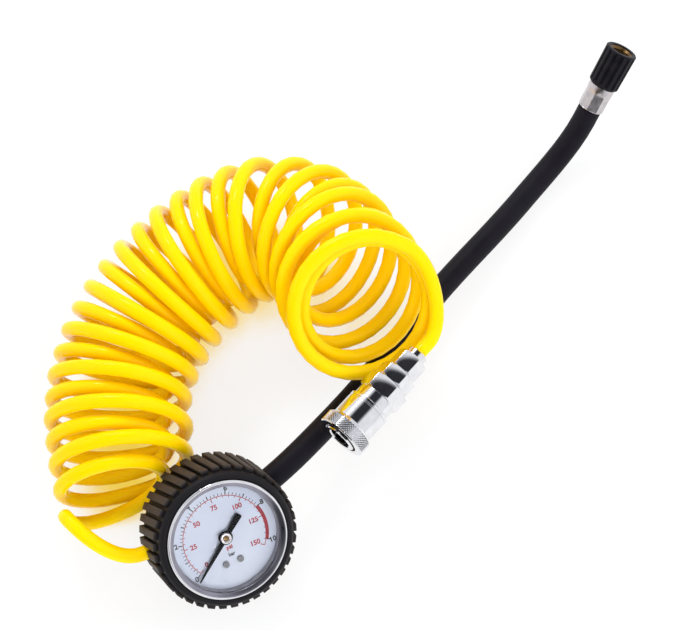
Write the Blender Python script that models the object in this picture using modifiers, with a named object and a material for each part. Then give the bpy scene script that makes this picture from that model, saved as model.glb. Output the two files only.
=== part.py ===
"""Tyre-inflating line: dial gauge in a rubber boot, whip hose with chuck, curly air hose with coupler."""
import math

import bmesh
import bpy
import numpy as np
from mathutils import Matrix, Vector

for item in list(bpy.data.objects):
    bpy.data.objects.remove(item, do_unlink=True)

MM = 0.001
DEG = math.pi / 180
FIT_GAP = 0.3 * MM          # air left between pieces that seat on one another
RUN_GAP = 0.4 * MM          # air round pieces that turn or slide
ROUND = 40                  # sides of a turned piece
MIDDLE_ROUND = 24           # sides of a middling turned piece
SMALL_ROUND = 20            # sides of a small turned piece

# Gauge: local +Z leaves through the dial, local +Y is up on the dial
GAUGE_PLACE = (-9.20 * MM, 2.85 * MM)
GAUGE_FACING = -17.1 * DEG
GAUGE_LEAN = 37.9 * DEG
GAUGE_ROLL = 82.3 * DEG
BOOT_WALL = 3.4 * MM
BOOT_BACK = 3.0 * MM
BOOT_CHAMFER = 3.0 * MM
BOOT_WINDOW = 14.0 * MM
BOOT_LIP = 4.0 * MM
LUGS = 38
LUG_HEIGHT = 2.3 * MM
LUG_SHARE = 0.6
LUG_SLANT = -6.0 * DEG
CASE_RADIUS = 28.4 * MM
CASE_WALL = 0.9 * MM
BEZEL_WALL = 0.8 * MM
BEZEL_PROUD = 1.0 * MM
BEZEL_LIP = 1.2 * MM
BEZEL_SKIRT = 4.6 * MM
BEZEL_COVER = 2.0 * MM
BEZEL_SIDES = 48
LENS_THICK = 1.5 * MM
GASKET_THICK = 1.0 * MM
DIAL_THICK = 0.6 * MM
DIAL_DROP = 1.6 * MM
SCREW_RADIUS = 1.3 * MM
SCREW_SHANK = 0.7 * MM
SCREW_HEAD = 0.6 * MM
SCREW_SIDES = 12
SCREW_SPREAD = 16.0 * DEG

# Gauge movement
ARBOR_RADIUS = 0.7 * MM
POINTER_SHY = 1.8 * MM
POINTER_TAIL = 13.0 * MM
POINTER_THICK = 0.5 * MM
POINTER_LIFT = 1.2 * MM
POINTER_HALF_TIP = 0.35 * MM
POINTER_HALF_WAIST = 1.5 * MM
POINTER_HALF_TAIL = 1.7 * MM
POINTER_WAIST = 2.5 * MM
POINTER_REST = 131.0 * DEG
HUB_RADIUS = 3.3 * MM
HUB_HEIGHT = 0.8 * MM
PLATE_THICK = 0.6 * MM
PLATE_SPAN = 3.5 * MM
PLATE_DROP = 0.6 * MM
PILLAR_RADIUS = 1.2 * MM
GEAR_SHARE = 0.4 / 28.4     # gear module as a share of the case's radius
PINION_TEETH = 10
SECTOR_TEETH = 70
SECTOR_SWING = 34.7 * DEG
SECTOR_THICK = 0.8 * MM
PINION_THICK = 1.0 * MM
PINION_OVERHANG = 0.1 * MM
LINK_THICK = 0.4 * MM
LINK_HALF_WIDTH = 1.3 * MM
STUD_RADIUS = 0.55 * MM
BOURDON_CLEAR = 5.5 * MM
BOURDON_ROOM = 1.3 * MM
BOURDON_SIDES = 8
BOURDON_POINTS = 28
BOURDON_HALF = (0.9 * MM, 2.5 * MM)
BOURDON_SWEEP = 284.0 * DEG
TIP_SIZE = (3.2 * MM, 5.0 * MM)
SOCKET_RADIUS = 4.5 * MM
SOCKET_ARM_WIDTH = 8.0 * MM
SOCKET_ARM_PAST = 2.5 * MM
HAIR_TURNS = 3
HAIR_INNER = 1.6 * MM
HAIR_STEP = 1.1 * MM
HAIR_WIRE = 0.2 * MM
HAIR_POINTS = 10

# Manifold behind the case
ARM_RADIUS = 5.6 * MM
MANIFOLD_RADIUS = 8.0 * MM
FITTING_ROOM = 0.8 * MM
FITTING_LENGTH = 8.7 * MM
FITTING_BARB = 3.0 * MM
HOLE_PAST = 5.0 * MM
OUTLET_ANGLE = 18.5 * DEG
INLET_ANGLE = 177.7 * DEG

# Curly hose: centres of the winding in mm, heading and lean of its axis in degrees, curl radius in mm
COIL_TUBE = 6.7 * MM
COIL_CURLS = 26
CURL_POINTS = 9
CURL_PITCH = 9.0 * MM       # widest spacing of the curls, and the least on the inner side of a bend
CURL_INNER_PITCH = 4.8 * MM
CURL_STAGGER = 4.8 * MM
LEAD_IN_LEAVE = 58.0 * MM   # how far the loose ends run on before they turn
LEAD_IN_ARRIVE = 80.0 * MM
LEAD_OUT_LEAVE = 50.0 * MM
LEAD_OUT_ARRIVE = 40.0 * MM
LEAD_IN_POINTS = 7
LEAD_OUT_POINTS = 5
COIL_STATIONS = (
    (-46.1, -19.7, 31.0, 153.5, -5.1, 26.5),
    (-59.7, -6.2, 34.0, 139.7, -5.1, 29.5),
    (-79.9, 13.4, 34.6, 128.7, -1.1, 30.0),
    (-94.7, 40.7, 34.5, 110.8, 7.2, 30.0),
    (-101.1, 75.6, 33.8, 86.7, 14.5, 30.0),
    (-96.8, 110.2, 34.0, 61.4, 19.2, 30.0),
    (-84.0, 133.0, 36.5, 36.0, 22.5, 30.0),
    (-65.1, 141.4, 40.2, 10.8, 26.1, 30.5),
    (-44.1, 137.7, 45.1, -6.0, 32.7, 31.5),
    (-22.7, 128.0, 52.5, -17.4, 46.1, 33.5),
    (-11.4, 123.8, 59.2, -21.1, 50.8, 33.5),
)

# Whip hose, and the chuck on its end: local +Z leaves through the chuck's mouth
WHIP_TUBE = 12.0 * MM
WHIP_POINTS = 26
WHIP_ROUTE = (
    (2.5, 70.4, 26.0),
    (0.2, 110.1, 17.2),
    (-2.5, 136.7, 15.0),
    (-5.3, 173.9, 12.0),
    (-6.1, 215.9, 8.4),
    (-7.6, 250.0, 6.4),
)
CHUCK_PLACE = (-12.1 * MM, 313.6 * MM, 50.0 * MM)
CHUCK_HEADING = 97.0 * DEG
CHUCK_RISE = 41.0 * DEG
CHUCK_RADIUS = 8.2 * MM
CHUCK_LENGTH = 20.0 * MM
CHUCK_BACK = 3.0 * MM
CHUCK_EDGE = 0.6 * MM
FLUTES = 14
FLUTE_RADIUS = 1.1 * MM
FLUTE_STOP = 2.0 * MM
INSERT_RADIUS = 6.3 * MM
INSERT_BORE = 4.0 * MM
INSERT_LENGTH = 9.0 * MM
NECK_RADIUS = 4.0 * MM
COLLAR_RADIUS = 5.5 * MM
SEAL_THICK = 1.6 * MM
SEAL_HOLE = 1.5 * MM
PIN_RADIUS = 1.0 * MM
PIN_LENGTH = 7.0 * MM
FERRULE_RADIUS = 6.8 * MM
FERRULE_LENGTH = 14.0 * MM
FERRULE_SIDES = 16
STEM_IN_FERRULE = 9.0 * MM

# Coupler on the curly hose: local +Z leaves through its mouth
COUPLER_PLACE = (15.3 * MM, 70.0 * MM, 42.0 * MM)
COUPLER_BORE = 5.6 * MM
BORE_DEPTH = 16.0 * MM
CHAMBER_RADIUS = 6.4 * MM
BARREL_RADIUS = 8.2 * MM
GUIDE_RADIUS = 9.9 * MM
GUIDE_LENGTH = 7.3 * MM
SLEEVE_START = 0.8 * MM
SLEEVE_LENGTH = 21.2 * MM
SLEEVE_RADIUS = 11.0 * MM
KNURL_RADIUS = 12.8 * MM
KNURL_LENGTH = 6.4 * MM
SLEEVE_BEVEL = 0.8 * MM
SLEEVE_TRAVEL = 5.0 * MM
BALL_RADIUS = 1.5 * MM
BALL_SIDES = 12
BALL_RINGS = 8
BALL_DEPTH = 6.0 * MM
BALL_REACH = 6.6 * MM
BALL_TRAVEL = 1.0 * MM
LAND_LEAD = 1.4 * MM
LAND_LENGTH = 4.6 * MM
BODY_HEX = 20.0 * MM
BODY_HEX_LENGTH = 9.0 * MM
ADAPTER_HEX = 17.0 * MM
ADAPTER_HEX_LENGTH = 7.6 * MM
ADAPTER_SPIGOT = 7.0 * MM
NUT_HEX = 14.0 * MM
NUT_HEX_LENGTH = 9.7 * MM
NUT_TAIL_RADIUS = 5.3 * MM
NUT_TAIL_LENGTH = 3.6 * MM
AIR_WAY = 2.5 * MM
SEAL_DEPTH = 12.0 * MM
SEAL_HEIGHT = 1.4 * MM
SEAL_DIP = 1.0 * MM
POPPET_NOSE = 4.6 * MM
POPPET_FLANGE = 2.2 * MM
POPPET_NOSE_LENGTH = 1.7 * MM
SPRING_WIRE = 0.45 * MM
SPRING_CURLS = 5
SPRING_POINTS = 10
RING_DEPTH = 2.0 * MM
RING_HEIGHT = 0.8 * MM

parts = bpy.data.collections.new("tyre_inflator")
cutters = bpy.data.collections.new("cutters")
bpy.context.scene.collection.children.link(parts)
bpy.context.scene.collection.children.link(cutters)


def material(name, color, roughness, metallic=0.0, alpha=1.0):
    made = bpy.data.materials.new(name)
    made.use_nodes = True
    shader = made.node_tree.nodes["Principled BSDF"]
    shader.inputs["Base Color"].default_value = (*color, 1.0)
    shader.inputs["Roughness"].default_value = roughness
    shader.inputs["Metallic"].default_value = metallic
    shader.inputs["Alpha"].default_value = alpha
    return made


RUBBER = material("boot_rubber", (0.022, 0.018, 0.016), 0.6)
HOSE_RUBBER = material("hose_rubber", (0.012, 0.012, 0.016), 0.45)
SEAL_RUBBER = material("seal_rubber", (0.02, 0.02, 0.02), 0.7)
YELLOW = material("yellow_tube", (1.0, 0.62, 0.0), 0.3)
CHROME = material("chrome", (0.8, 0.8, 0.82), 0.1, 1.0)
STEEL = material("steel", (0.6, 0.6, 0.6), 0.3, 1.0)
BRASS = material("brass", (0.75, 0.55, 0.25), 0.3, 1.0)
BLACK = material("black_plastic", (0.02, 0.02, 0.02), 0.4)
WHITE = material("dial_white", (0.85, 0.87, 0.92), 0.5)
GLASS = material("clear_lens", (1.0, 1.0, 1.0), 0.05, 0.0, 0.3)


def frame(name, place, rotation):
    empty = bpy.data.objects.new(name, None)
    empty.location = place
    empty.rotation_euler = rotation.to_euler()
    parts.objects.link(empty)
    return empty


def put(made, parent, paint, collection=parts):
    collection.objects.link(made)
    made.parent = parent
    if paint is not None:
        made.data.materials.append(paint)
    if collection is cutters:
        made.hide_render = True
        made.display_type = 'WIRE'
    return made


def smooth(mesh):
    mesh.shade_smooth()
    mesh.set_sharp_from_angle(angle=35 * DEG)


def turned(name, profile, parent, paint, sides=ROUND, collection=parts):
    """Screw (radius, height) points round Z, outer side downwards; closed unless they meet the axis."""
    mesh = bpy.data.meshes.new(name)
    build = bmesh.new()
    points = [build.verts.new((radius, 0, height)) for radius, height in profile]
    for first, second in zip(points, points[1:]):
        build.edges.new((first, second))
    if profile[0][0] > 0:
        build.edges.new((points[-1], points[0]))
    build.to_mesh(mesh)
    build.free()
    made = put(bpy.data.objects.new(name, mesh), parent, paint, collection)
    screw = made.modifiers.new("turn", 'SCREW')
    screw.steps = sides
    screw.render_steps = sides
    screw.use_merge_vertices = True
    screw.merge_threshold = 0.000001
    screw.use_smooth_shade = True
    return made


def ring(inner, outer, low, high):
    return [(outer, high), (outer, low), (inner, low), (inner, high)]


def disc(radius, low, high):
    return [(0, high), (radius, high), (radius, low), (0, low)]


def boolean(made, other, operation):
    step = made.modifiers.new(operation.lower(), 'BOOLEAN')
    step.operation = operation
    step.object = other


def cut(made, other):
    boolean(made, other, 'DIFFERENCE')


def join(made, other):
    boolean(made, other, 'UNION')


def solid(name, build, parent, paint, collection=parts):
    mesh = bpy.data.meshes.new(name)
    build.to_mesh(mesh)
    build.free()
    smooth(mesh)
    return put(bpy.data.objects.new(name, mesh), parent, paint, collection)


def rods(name, places, radius, length, parent, sides=SMALL_ROUND):
    """A cutter of several cylinders, each along the Z axis of its place."""
    build = bmesh.new()
    for place in places:
        bmesh.ops.create_cone(build, cap_ends=True, segments=sides, radius1=radius, radius2=radius,
                              depth=length, matrix=place)
    return solid(name, build, parent, None, cutters)


def box(name, size, middle, parent, paint, turn=0.0, collection=parts):
    build = bmesh.new()
    place = Matrix.Translation(middle) @ Matrix.Rotation(turn, 4, 'Z') @ Matrix.Diagonal((*size, 1.0))
    bmesh.ops.create_cube(build, size=1.0, matrix=place)
    return solid(name, build, parent, paint, collection)


def as_mesh(made, parent, paint, collection=parts):
    """Turn a curve into a welded mesh that Boolean can take."""
    bpy.context.scene.collection.objects.link(made)
    ready = made.evaluated_get(bpy.context.evaluated_depsgraph_get())
    mesh = bpy.data.meshes.new_from_object(ready)
    name = made.name
    bpy.data.objects.remove(made, do_unlink=True)
    build = bmesh.new()
    build.from_mesh(mesh)
    bmesh.ops.remove_doubles(build, verts=build.verts, dist=0.000001)
    bmesh.ops.recalc_face_normals(build, faces=build.faces)
    made = solid(name, build, parent, paint, collection)
    bpy.data.meshes.remove(mesh)
    return made


def flat(name, outlines, low, thick, parent, paint, collection=parts):
    """A plate from closed outlines: the first is its edge and the others are its holes."""
    curve = bpy.data.curves.new(name, 'CURVE')
    curve.dimensions = '2D'
    curve.fill_mode = 'BOTH'
    curve.extrude = thick / 2
    for outline in outlines:
        spline = curve.splines.new('POLY')
        spline.points.add(len(outline) - 1)
        spline.use_cyclic_u = True
        for point, (x, y) in zip(spline.points, outline):
            point.co = (x, y, 0, 1)
    made = as_mesh(bpy.data.objects.new(name, curve), parent, paint, collection)
    made.data.transform(Matrix.Translation((0, 0, low + thick / 2)))
    return made


def circle(radius, sides, middle=(0, 0), start=0.0):
    angles = [start + 2 * math.pi * step / sides for step in range(sides)]
    return [(middle[0] + radius * math.cos(a), middle[1] + radius * math.sin(a)) for a in angles]


def hexagon(across_flats):
    return circle(across_flats / math.sqrt(3), 6)


def tube(name, points, radius, resolution, parent, paint):
    curve = bpy.data.curves.new(name, 'CURVE')
    curve.dimensions = '3D'
    curve.bevel_depth = radius
    curve.bevel_resolution = resolution
    curve.use_fill_caps = True
    spline = curve.splines.new('POLY')
    spline.points.add(len(points) - 1)
    for point, place in zip(spline.points, points):
        point.co = (*place, 1)
    return as_mesh(bpy.data.objects.new(name, curve), parent, paint)


def natural_spline(knots, values, samples):
    """Natural cubic spline through rows of values at the knots, read at the samples."""
    count = len(knots)
    span = np.diff(knots)
    system = np.eye(count)
    right = np.zeros_like(values)
    for i in range(1, count - 1):
        system[i, i - 1:i + 2] = span[i - 1], 2 * (span[i - 1] + span[i]), span[i]
        right[i] = 6 * ((values[i + 1] - values[i]) / span[i] - (values[i] - values[i - 1]) / span[i - 1])
    bend = np.linalg.solve(system, right)
    part = np.clip(np.searchsorted(knots, samples, side='right') - 1, 0, count - 2)
    width = span[part][:, None]
    ahead = (knots[part + 1] - samples)[:, None] / width
    behind = 1 - ahead
    curve = ahead * values[part] + behind * values[part + 1]
    swell = (ahead ** 3 - ahead) * bend[part] + (behind ** 3 - behind) * bend[part + 1]
    return curve + swell * width ** 2 / 6


def chords(points):
    return np.concatenate([[0], np.cumsum(np.linalg.norm(np.diff(points, axis=0), axis=1))])


def hermite(start, leave, end, arrive, count):
    """Points strictly between two places, on the cubic that leaves and arrives with the given tangents."""
    s = np.linspace(0, 1, count + 2)[1:-1, None]
    return ((2 * s ** 3 - 3 * s ** 2 + 1) * start + (s ** 3 - 2 * s ** 2 + s) * leave
            + (3 * s ** 2 - 2 * s ** 3) * end + (s ** 3 - s ** 2) * arrive)


def unit(rows):
    return rows / np.linalg.norm(rows, axis=-1, keepdims=True)


# Heights along the gauge, from the back of the boot
arm_room = max(ARM_RADIUS, WHIP_TUBE / 2, COIL_TUBE / 2)
manifold_mid = BOOT_BACK + FIT_GAP + arm_room
case_back = manifold_mid + arm_room + FIT_GAP
arm_low = case_back + CASE_WALL + FIT_GAP
arm_top = arm_low + BOURDON_HALF[1] + BOURDON_ROOM
back_plate_low = arm_top + FIT_GAP
back_plate_top = back_plate_low + PLATE_THICK
sector_low = back_plate_top + 0.25 * PLATE_SPAN
sector_top = sector_low + SECTOR_THICK
link_low = sector_top + FIT_GAP
front_plate_low = back_plate_top + PLATE_SPAN
dial_low = front_plate_low + PLATE_THICK + PLATE_DROP
dial_top = dial_low + DIAL_THICK
pointer_low = dial_top + POINTER_LIFT
case_front = dial_top + DIAL_DROP
gasket_top = case_front + FIT_GAP + GASKET_THICK
lens_top = gasket_top + FIT_GAP + LENS_THICK
bezel_front = lens_top + FIT_GAP + BEZEL_LIP
boot_depth = bezel_front - BEZEL_PROUD

# Reaches from the gauge's axis
bezel_radius = CASE_RADIUS + FIT_GAP + BEZEL_WALL
bezel_sight = CASE_RADIUS - BEZEL_COVER
pointer_reach = bezel_sight - POINTER_SHY
boot_bore = bezel_radius + FIT_GAP
lug_root = boot_bore + BOOT_WALL
boot_radius = lug_root + LUG_HEIGHT
bourdon_radius = CASE_RADIUS - CASE_WALL - BOURDON_CLEAR
fitting_reach = boot_bore - FITTING_ROOM
arm_reach = fitting_reach - FITTING_LENGTH - FIT_GAP

# The movement keeps its proportions, so it grows with the case
gear_module = GEAR_SHARE * CASE_RADIUS
screw_reach = 34 * gear_module
sector_tail = 9 * gear_module
pillar_x = 18.75 * gear_module
pillar_y = 5.5 * gear_module
plate_margin = 5 * gear_module
plate_head = 6 * gear_module
plate_shoulder = 7.5 * gear_module
plate_half_foot = 13.75 * gear_module
sector_hub = 5.5 * gear_module

# Frames of the three rigid groups; the boot's lugs stand on the floor
gauge_turn = Matrix.Rotation(GAUGE_FACING, 3, 'Z') @ Matrix.Rotation(GAUGE_LEAN, 3, 'Y')
gauge_turn = gauge_turn @ Matrix.Rotation(GAUGE_ROLL, 3, 'Z')
lug_low = BOOT_CHAMFER + FIT_GAP
gauge_height = boot_radius * math.sin(GAUGE_LEAN) - lug_low * math.cos(GAUGE_LEAN)
gauge_place = Vector((*GAUGE_PLACE, gauge_height))
gauge = frame("gauge_frame", gauge_place, gauge_turn)
chuck_turn = Matrix.Rotation(CHUCK_HEADING - math.pi / 2, 3, 'Z')
chuck_turn = chuck_turn @ Matrix.Rotation(CHUCK_RISE - math.pi / 2, 3, 'X')
chuck = frame("chuck_frame", CHUCK_PLACE, chuck_turn)
coupler_turn = Matrix.Rotation(math.pi / 2, 3, 'X')
coupler = frame("coupler_frame", COUPLER_PLACE, coupler_turn)


def across(angle, height):
    """Place of a rod that points away from the gauge's axis."""
    turn = Matrix.Rotation(angle, 4, 'Z') @ Matrix.Rotation(math.pi / 2, 4, 'Y')
    return Matrix.Translation((0, 0, height)) @ turn


def make_boot():
    core = [(lug_root, boot_depth - BOOT_CHAMFER / 2), (lug_root, BOOT_CHAMFER),
            (lug_root - BOOT_CHAMFER, 0), (BOOT_WINDOW, 0), (BOOT_WINDOW, BOOT_BACK),
            (boot_bore, BOOT_BACK), (boot_bore, boot_depth), (lug_root - BOOT_CHAMFER / 2, boot_depth)]
    boot = turned("boot", core, gauge, RUBBER, LUGS)
    step = 2 * math.pi / LUGS
    outline = []
    for lug in range(LUGS):
        for edge, radius in ((-0.5, 0), (-0.42, 1), (0.42, 1), (0.5, 0)):
            angle = step * (lug + edge * LUG_SHARE)
            reach = lug_root - FIT_GAP + radius * (LUG_HEIGHT + FIT_GAP)
            outline.append((reach * math.cos(angle), reach * math.sin(angle)))
    low = lug_low
    high = boot_depth - BOOT_LIP
    inner = circle(lug_root - BOOT_CHAMFER / 2, LUGS)
    tread = flat("boot_tread", [outline, inner], low, high - low, gauge, None, cutters)
    for point in tread.data.vertices:
        share = (point.co.z - low) / (high - low)
        point.co = Matrix.Rotation(LUG_SLANT * share, 3, 'Z') @ point.co
    join(boot, tread)
    length = boot_radius + HOLE_PAST
    ways = (("outlet_hole", OUTLET_ANGLE, WHIP_TUBE / 2), ("inlet_hole", INLET_ANGLE, COIL_TUBE / 2))
    for name, angle, radius in ways:
        place = across(angle, manifold_mid) @ Matrix.Translation((0, 0, length / 2))
        cut(boot, rods(name, [place], radius + 2 * FIT_GAP, length, gauge))


def make_case():
    inner = CASE_RADIUS - CASE_WALL
    hole = SOCKET_RADIUS + FIT_GAP
    floor = case_back + CASE_WALL
    profile = [(CASE_RADIUS, case_front), (CASE_RADIUS, case_back), (hole, case_back), (hole, floor),
               (inner, floor), (inner, case_front)]
    turned("gauge_case", profile, gauge, STEEL)
    inside = CASE_RADIUS + FIT_GAP
    low = bezel_front - BEZEL_SKIRT
    turned("bezel", [(bezel_radius - BEZEL_LIP, bezel_front), (bezel_radius, bezel_front - BEZEL_LIP),
                     (bezel_radius, low), (inside, low), (inside, bezel_front - BEZEL_LIP),
                     (bezel_sight, bezel_front - BEZEL_LIP)], gauge, CHROME, BEZEL_SIDES)
    turned("lens", disc(CASE_RADIUS, lens_top - LENS_THICK, lens_top), gauge, GLASS)
    gasket = ring(bezel_sight, CASE_RADIUS, gasket_top - GASKET_THICK, gasket_top)
    turned("lens_gasket", gasket, gauge, SEAL_RUBBER)


def screw_places():
    for side in (-1, 1):
        angle = -math.pi / 2 + side * SCREW_SPREAD
        yield screw_reach * math.cos(angle), screw_reach * math.sin(angle)


def make_dial():
    holes = [circle(SCREW_SHANK + FIT_GAP, SCREW_SIDES, place) for place in screw_places()]
    edge = circle(CASE_RADIUS - CASE_WALL - FIT_GAP, ROUND)
    middle = circle(ARBOR_RADIUS + 2 * RUN_GAP, SCREW_SIDES)
    flat("dial_plate", [edge, middle, *holes], dial_low, DIAL_THICK, gauge, WHITE)
    head_low = dial_top + FIT_GAP
    for number, (x, y) in enumerate(screw_places(), 1):
        profile = [(0, head_low + SCREW_HEAD), (SCREW_RADIUS, head_low + SCREW_HEAD),
                   (SCREW_RADIUS, head_low), (SCREW_SHANK, head_low), (SCREW_SHANK, front_plate_low),
                   (0, front_plate_low)]
        screw = turned(f"dial_screw_{number}", profile, gauge, STEEL, SCREW_SIDES)
        screw.location = (x, y, 0)


def gear_outline(pitch_radius, teeth, chosen, first):
    """Trapezium teeth that run with play; chosen lists their numbers, first is tooth 0's angle."""
    step = 2 * math.pi / teeth
    tip = pitch_radius + 0.75 * gear_module
    root = pitch_radius - 1.25 * gear_module
    outline = []
    for tooth in chosen:
        middle = first + step * tooth
        for radius, half in ((root, 0.30), (tip, 0.09), (tip, -0.09), (root, -0.30)):
            angle = middle - half * step
            outline.append((radius * math.cos(angle), radius * math.sin(angle)))
    return outline


pinion_pitch = gear_module * PINION_TEETH / 2
sector_pitch = gear_module * SECTOR_TEETH / 2
sector_place = (0.0, -(pinion_pitch + sector_pitch))
sector_step = 2 * math.pi / SECTOR_TEETH
tail_angle = math.pi - SECTOR_SWING / 2


def make_movement():
    corner = pillar_x + plate_margin
    head = pillar_y + plate_head
    shoulder = pillar_y - plate_shoulder
    foot = sector_place[1] - plate_shoulder
    outline = [(-corner, head), (-corner, shoulder), (-plate_half_foot, foot), (plate_half_foot, foot),
               (corner, shoulder), (corner, head)]
    bearing = circle(ARBOR_RADIUS + RUN_GAP, SCREW_SIDES)
    pivot = circle(ARBOR_RADIUS + RUN_GAP, SCREW_SIDES, sector_place)
    holes = [circle(SCREW_SHANK + FIT_GAP, SCREW_SIDES, place) for place in screw_places()]
    flat("movement_back_plate", [outline, bearing, pivot], back_plate_low, PLATE_THICK, gauge, BRASS)
    loops = [outline, bearing, pivot, *holes]
    flat("movement_front_plate", loops, front_plate_low, PLATE_THICK, gauge, BRASS)
    for number, side in enumerate((-1, 1), 1):
        profile = disc(PILLAR_RADIUS, back_plate_top + FIT_GAP, front_plate_low - FIT_GAP)
        pillar = turned(f"movement_pillar_{number}", profile, gauge, BRASS, SCREW_SIDES)
        pillar.location = (side * pillar_x, pillar_y, 0)


def make_pointer():
    top = pointer_low + POINTER_THICK + HUB_HEIGHT / 2
    arbor = turned("pointer_arbor", disc(ARBOR_RADIUS, back_plate_low, top), gauge, STEEL, SCREW_SIDES)
    teeth = gear_outline(pinion_pitch, PINION_TEETH, range(PINION_TEETH), -math.pi / 2)
    join(arbor, flat("pinion_teeth", [teeth], sector_low - PINION_OVERHANG, PINION_THICK, gauge, None,
                     cutters))
    right = [(POINTER_HALF_TAIL, -POINTER_TAIL), (POINTER_HALF_WAIST, -POINTER_WAIST),
             (POINTER_HALF_WAIST, POINTER_WAIST), (POINTER_HALF_TIP, pointer_reach)]
    blade = right + [(-x, y) for x, y in reversed(right)]
    hole = circle(ARBOR_RADIUS + FIT_GAP, SCREW_SIDES)
    pointer = flat("pointer", [blade, hole], pointer_low, POINTER_THICK, gauge, BLACK)
    pointer.rotation_euler.z = POINTER_REST
    low = pointer_low + POINTER_THICK + FIT_GAP
    bore = ARBOR_RADIUS + FIT_GAP
    high = low + HUB_HEIGHT
    inside = low + HUB_HEIGHT / 2 + FIT_GAP
    profile = [(0, high), (HUB_RADIUS, high), (HUB_RADIUS, low), (bore, low), (bore, inside), (0, inside)]
    turned("pointer_hub", profile, gauge, BRASS, SMALL_ROUND)


def make_sector():
    """The sector is drawn about its own pivot; the pointer's rest leaves it half its swing to one side."""
    reach = int(SECTOR_SWING / 2 / sector_step) + 3
    lean = int(round(SECTOR_SWING / 2 / sector_step))
    teeth = gear_outline(sector_pitch, SECTOR_TEETH, range(reach - lean, -reach - lean - 1, -1),
                         math.pi / 2 + sector_step / 2)
    teeth = [point for tooth in range(0, len(teeth), 4) for point in reversed(teeth[tooth:tooth + 4])]
    lobe = [(sector_hub * math.cos(a), sector_hub * math.sin(a))
            for a in (-math.pi / 4, -math.pi / 2, -3 * math.pi / 4)]
    end = [(sector_tail * math.cos(tail_angle) + LINK_HALF_WIDTH * math.cos(a),
            sector_tail * math.sin(tail_angle) + LINK_HALF_WIDTH * math.sin(a))
           for a in (tail_angle + math.pi / 2, tail_angle, tail_angle - math.pi / 2)]
    outline = [*teeth, *lobe, *end]
    sector = flat("sector_gear", [outline], sector_low, SECTOR_THICK, gauge, BRASS)
    sector.location = (*sector_place, 0)
    pin = disc(ARBOR_RADIUS, back_plate_low, front_plate_low + PLATE_THICK)
    pivot = turned("sector_pivot", pin, sector, None, SCREW_SIDES, cutters)
    join(sector, pivot)
    pin = disc(STUD_RADIUS, sector_low, link_low + LINK_THICK)
    stud = turned("sector_stud", pin, sector, None, SCREW_SIDES, cutters)
    stud.location = (sector_tail * math.cos(tail_angle), sector_tail * math.sin(tail_angle), 0)
    join(sector, stud)


def make_bourdon():
    """Flattened tube in a C, from the socket's arm round to the tip that the link serves."""
    start = -math.pi / 2 + math.asin((SOCKET_ARM_WIDTH / 2 + 2 * FIT_GAP) / bourdon_radius)
    middle = arm_top
    angles = np.linspace(start, start + BOURDON_SWEEP, BOURDON_POINTS)
    profile = bpy.data.curves.new("bourdon_profile", 'CURVE')
    profile.dimensions = '2D'
    spline = profile.splines.new('POLY')
    spline.points.add(BOURDON_SIDES - 1)
    spline.use_cyclic_u = True
    for point, angle in zip(spline.points, np.linspace(0, 2 * math.pi, BOURDON_SIDES + 1)):
        point.co = (BOURDON_HALF[0] * math.cos(angle), BOURDON_HALF[1] * math.sin(angle), 0, 1)
    guide = put(bpy.data.objects.new("bourdon_profile", profile), None, None, cutters)
    curve = bpy.data.curves.new("bourdon_tube", 'CURVE')
    curve.dimensions = '3D'
    curve.twist_mode = 'Z_UP'
    curve.bevel_mode = 'OBJECT'
    curve.bevel_object = guide
    curve.use_fill_caps = True
    spline = curve.splines.new('POLY')
    spline.points.add(len(angles) - 1)
    for point, angle in zip(spline.points, angles):
        point.co = (bourdon_radius * math.cos(angle), bourdon_radius * math.sin(angle), middle, 1)
    as_mesh(bpy.data.objects.new("bourdon_tube", curve), gauge, BRASS)
    wide, long = TIP_SIZE
    tip_angle = start + BOURDON_SWEEP + (long / 2 + 2 * FIT_GAP) / bourdon_radius
    tip = (bourdon_radius * math.cos(tip_angle), bourdon_radius * math.sin(tip_angle))
    low = middle - BOURDON_HALF[1]
    high = link_low - FIT_GAP
    box("bourdon_tip", (wide, long, high - low), (*tip, (low + high) / 2), gauge, BRASS, tip_angle)
    make_link(tip)
    arm_long = SOCKET_RADIUS + bourdon_radius + SOCKET_ARM_PAST
    post = disc(SOCKET_RADIUS, manifold_mid + FIT_GAP, arm_top)
    socket = turned("socket", post, gauge, BRASS, SMALL_ROUND)
    arm_middle = (0, SOCKET_RADIUS - arm_long / 2, (arm_low + arm_top) / 2)
    arm_size = (SOCKET_ARM_WIDTH, arm_long, arm_top - arm_low)
    join(socket, box("socket_arm", arm_size, arm_middle, gauge, None, 0.0, cutters))


def make_link(tip):
    """The link is drawn about the sector's stud, which it turns on."""
    stud = Vector(sector_place) + sector_tail * Vector((math.cos(tail_angle), math.sin(tail_angle)))
    far = Vector(tip) - stud
    along = math.atan2(far.y, far.x)
    arc = [along + math.pi / 2 + math.pi * step / 4 for step in range(5)]
    near_end = [(LINK_HALF_WIDTH * math.cos(a), LINK_HALF_WIDTH * math.sin(a)) for a in arc]
    far_end = [(far.x - x, far.y - y) for x, y in near_end]
    hole = circle(STUD_RADIUS + RUN_GAP / 2, SCREW_SIDES)
    link = flat("link", [near_end + far_end, hole], link_low, LINK_THICK, gauge, BRASS)
    link.location = (*stud, 0)


def make_hairspring():
    points = []
    hair_height = link_low + LINK_THICK + 2 * FIT_GAP
    for step in range(HAIR_POINTS * HAIR_TURNS + 1):
        turn = step / HAIR_POINTS
        radius = HAIR_INNER + HAIR_STEP * turn
        angle = 2 * math.pi * turn
        points.append((radius * math.cos(angle), radius * math.sin(angle), hair_height))
    tube("hairspring", points, HAIR_WIRE, 0, gauge, STEEL)


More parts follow.
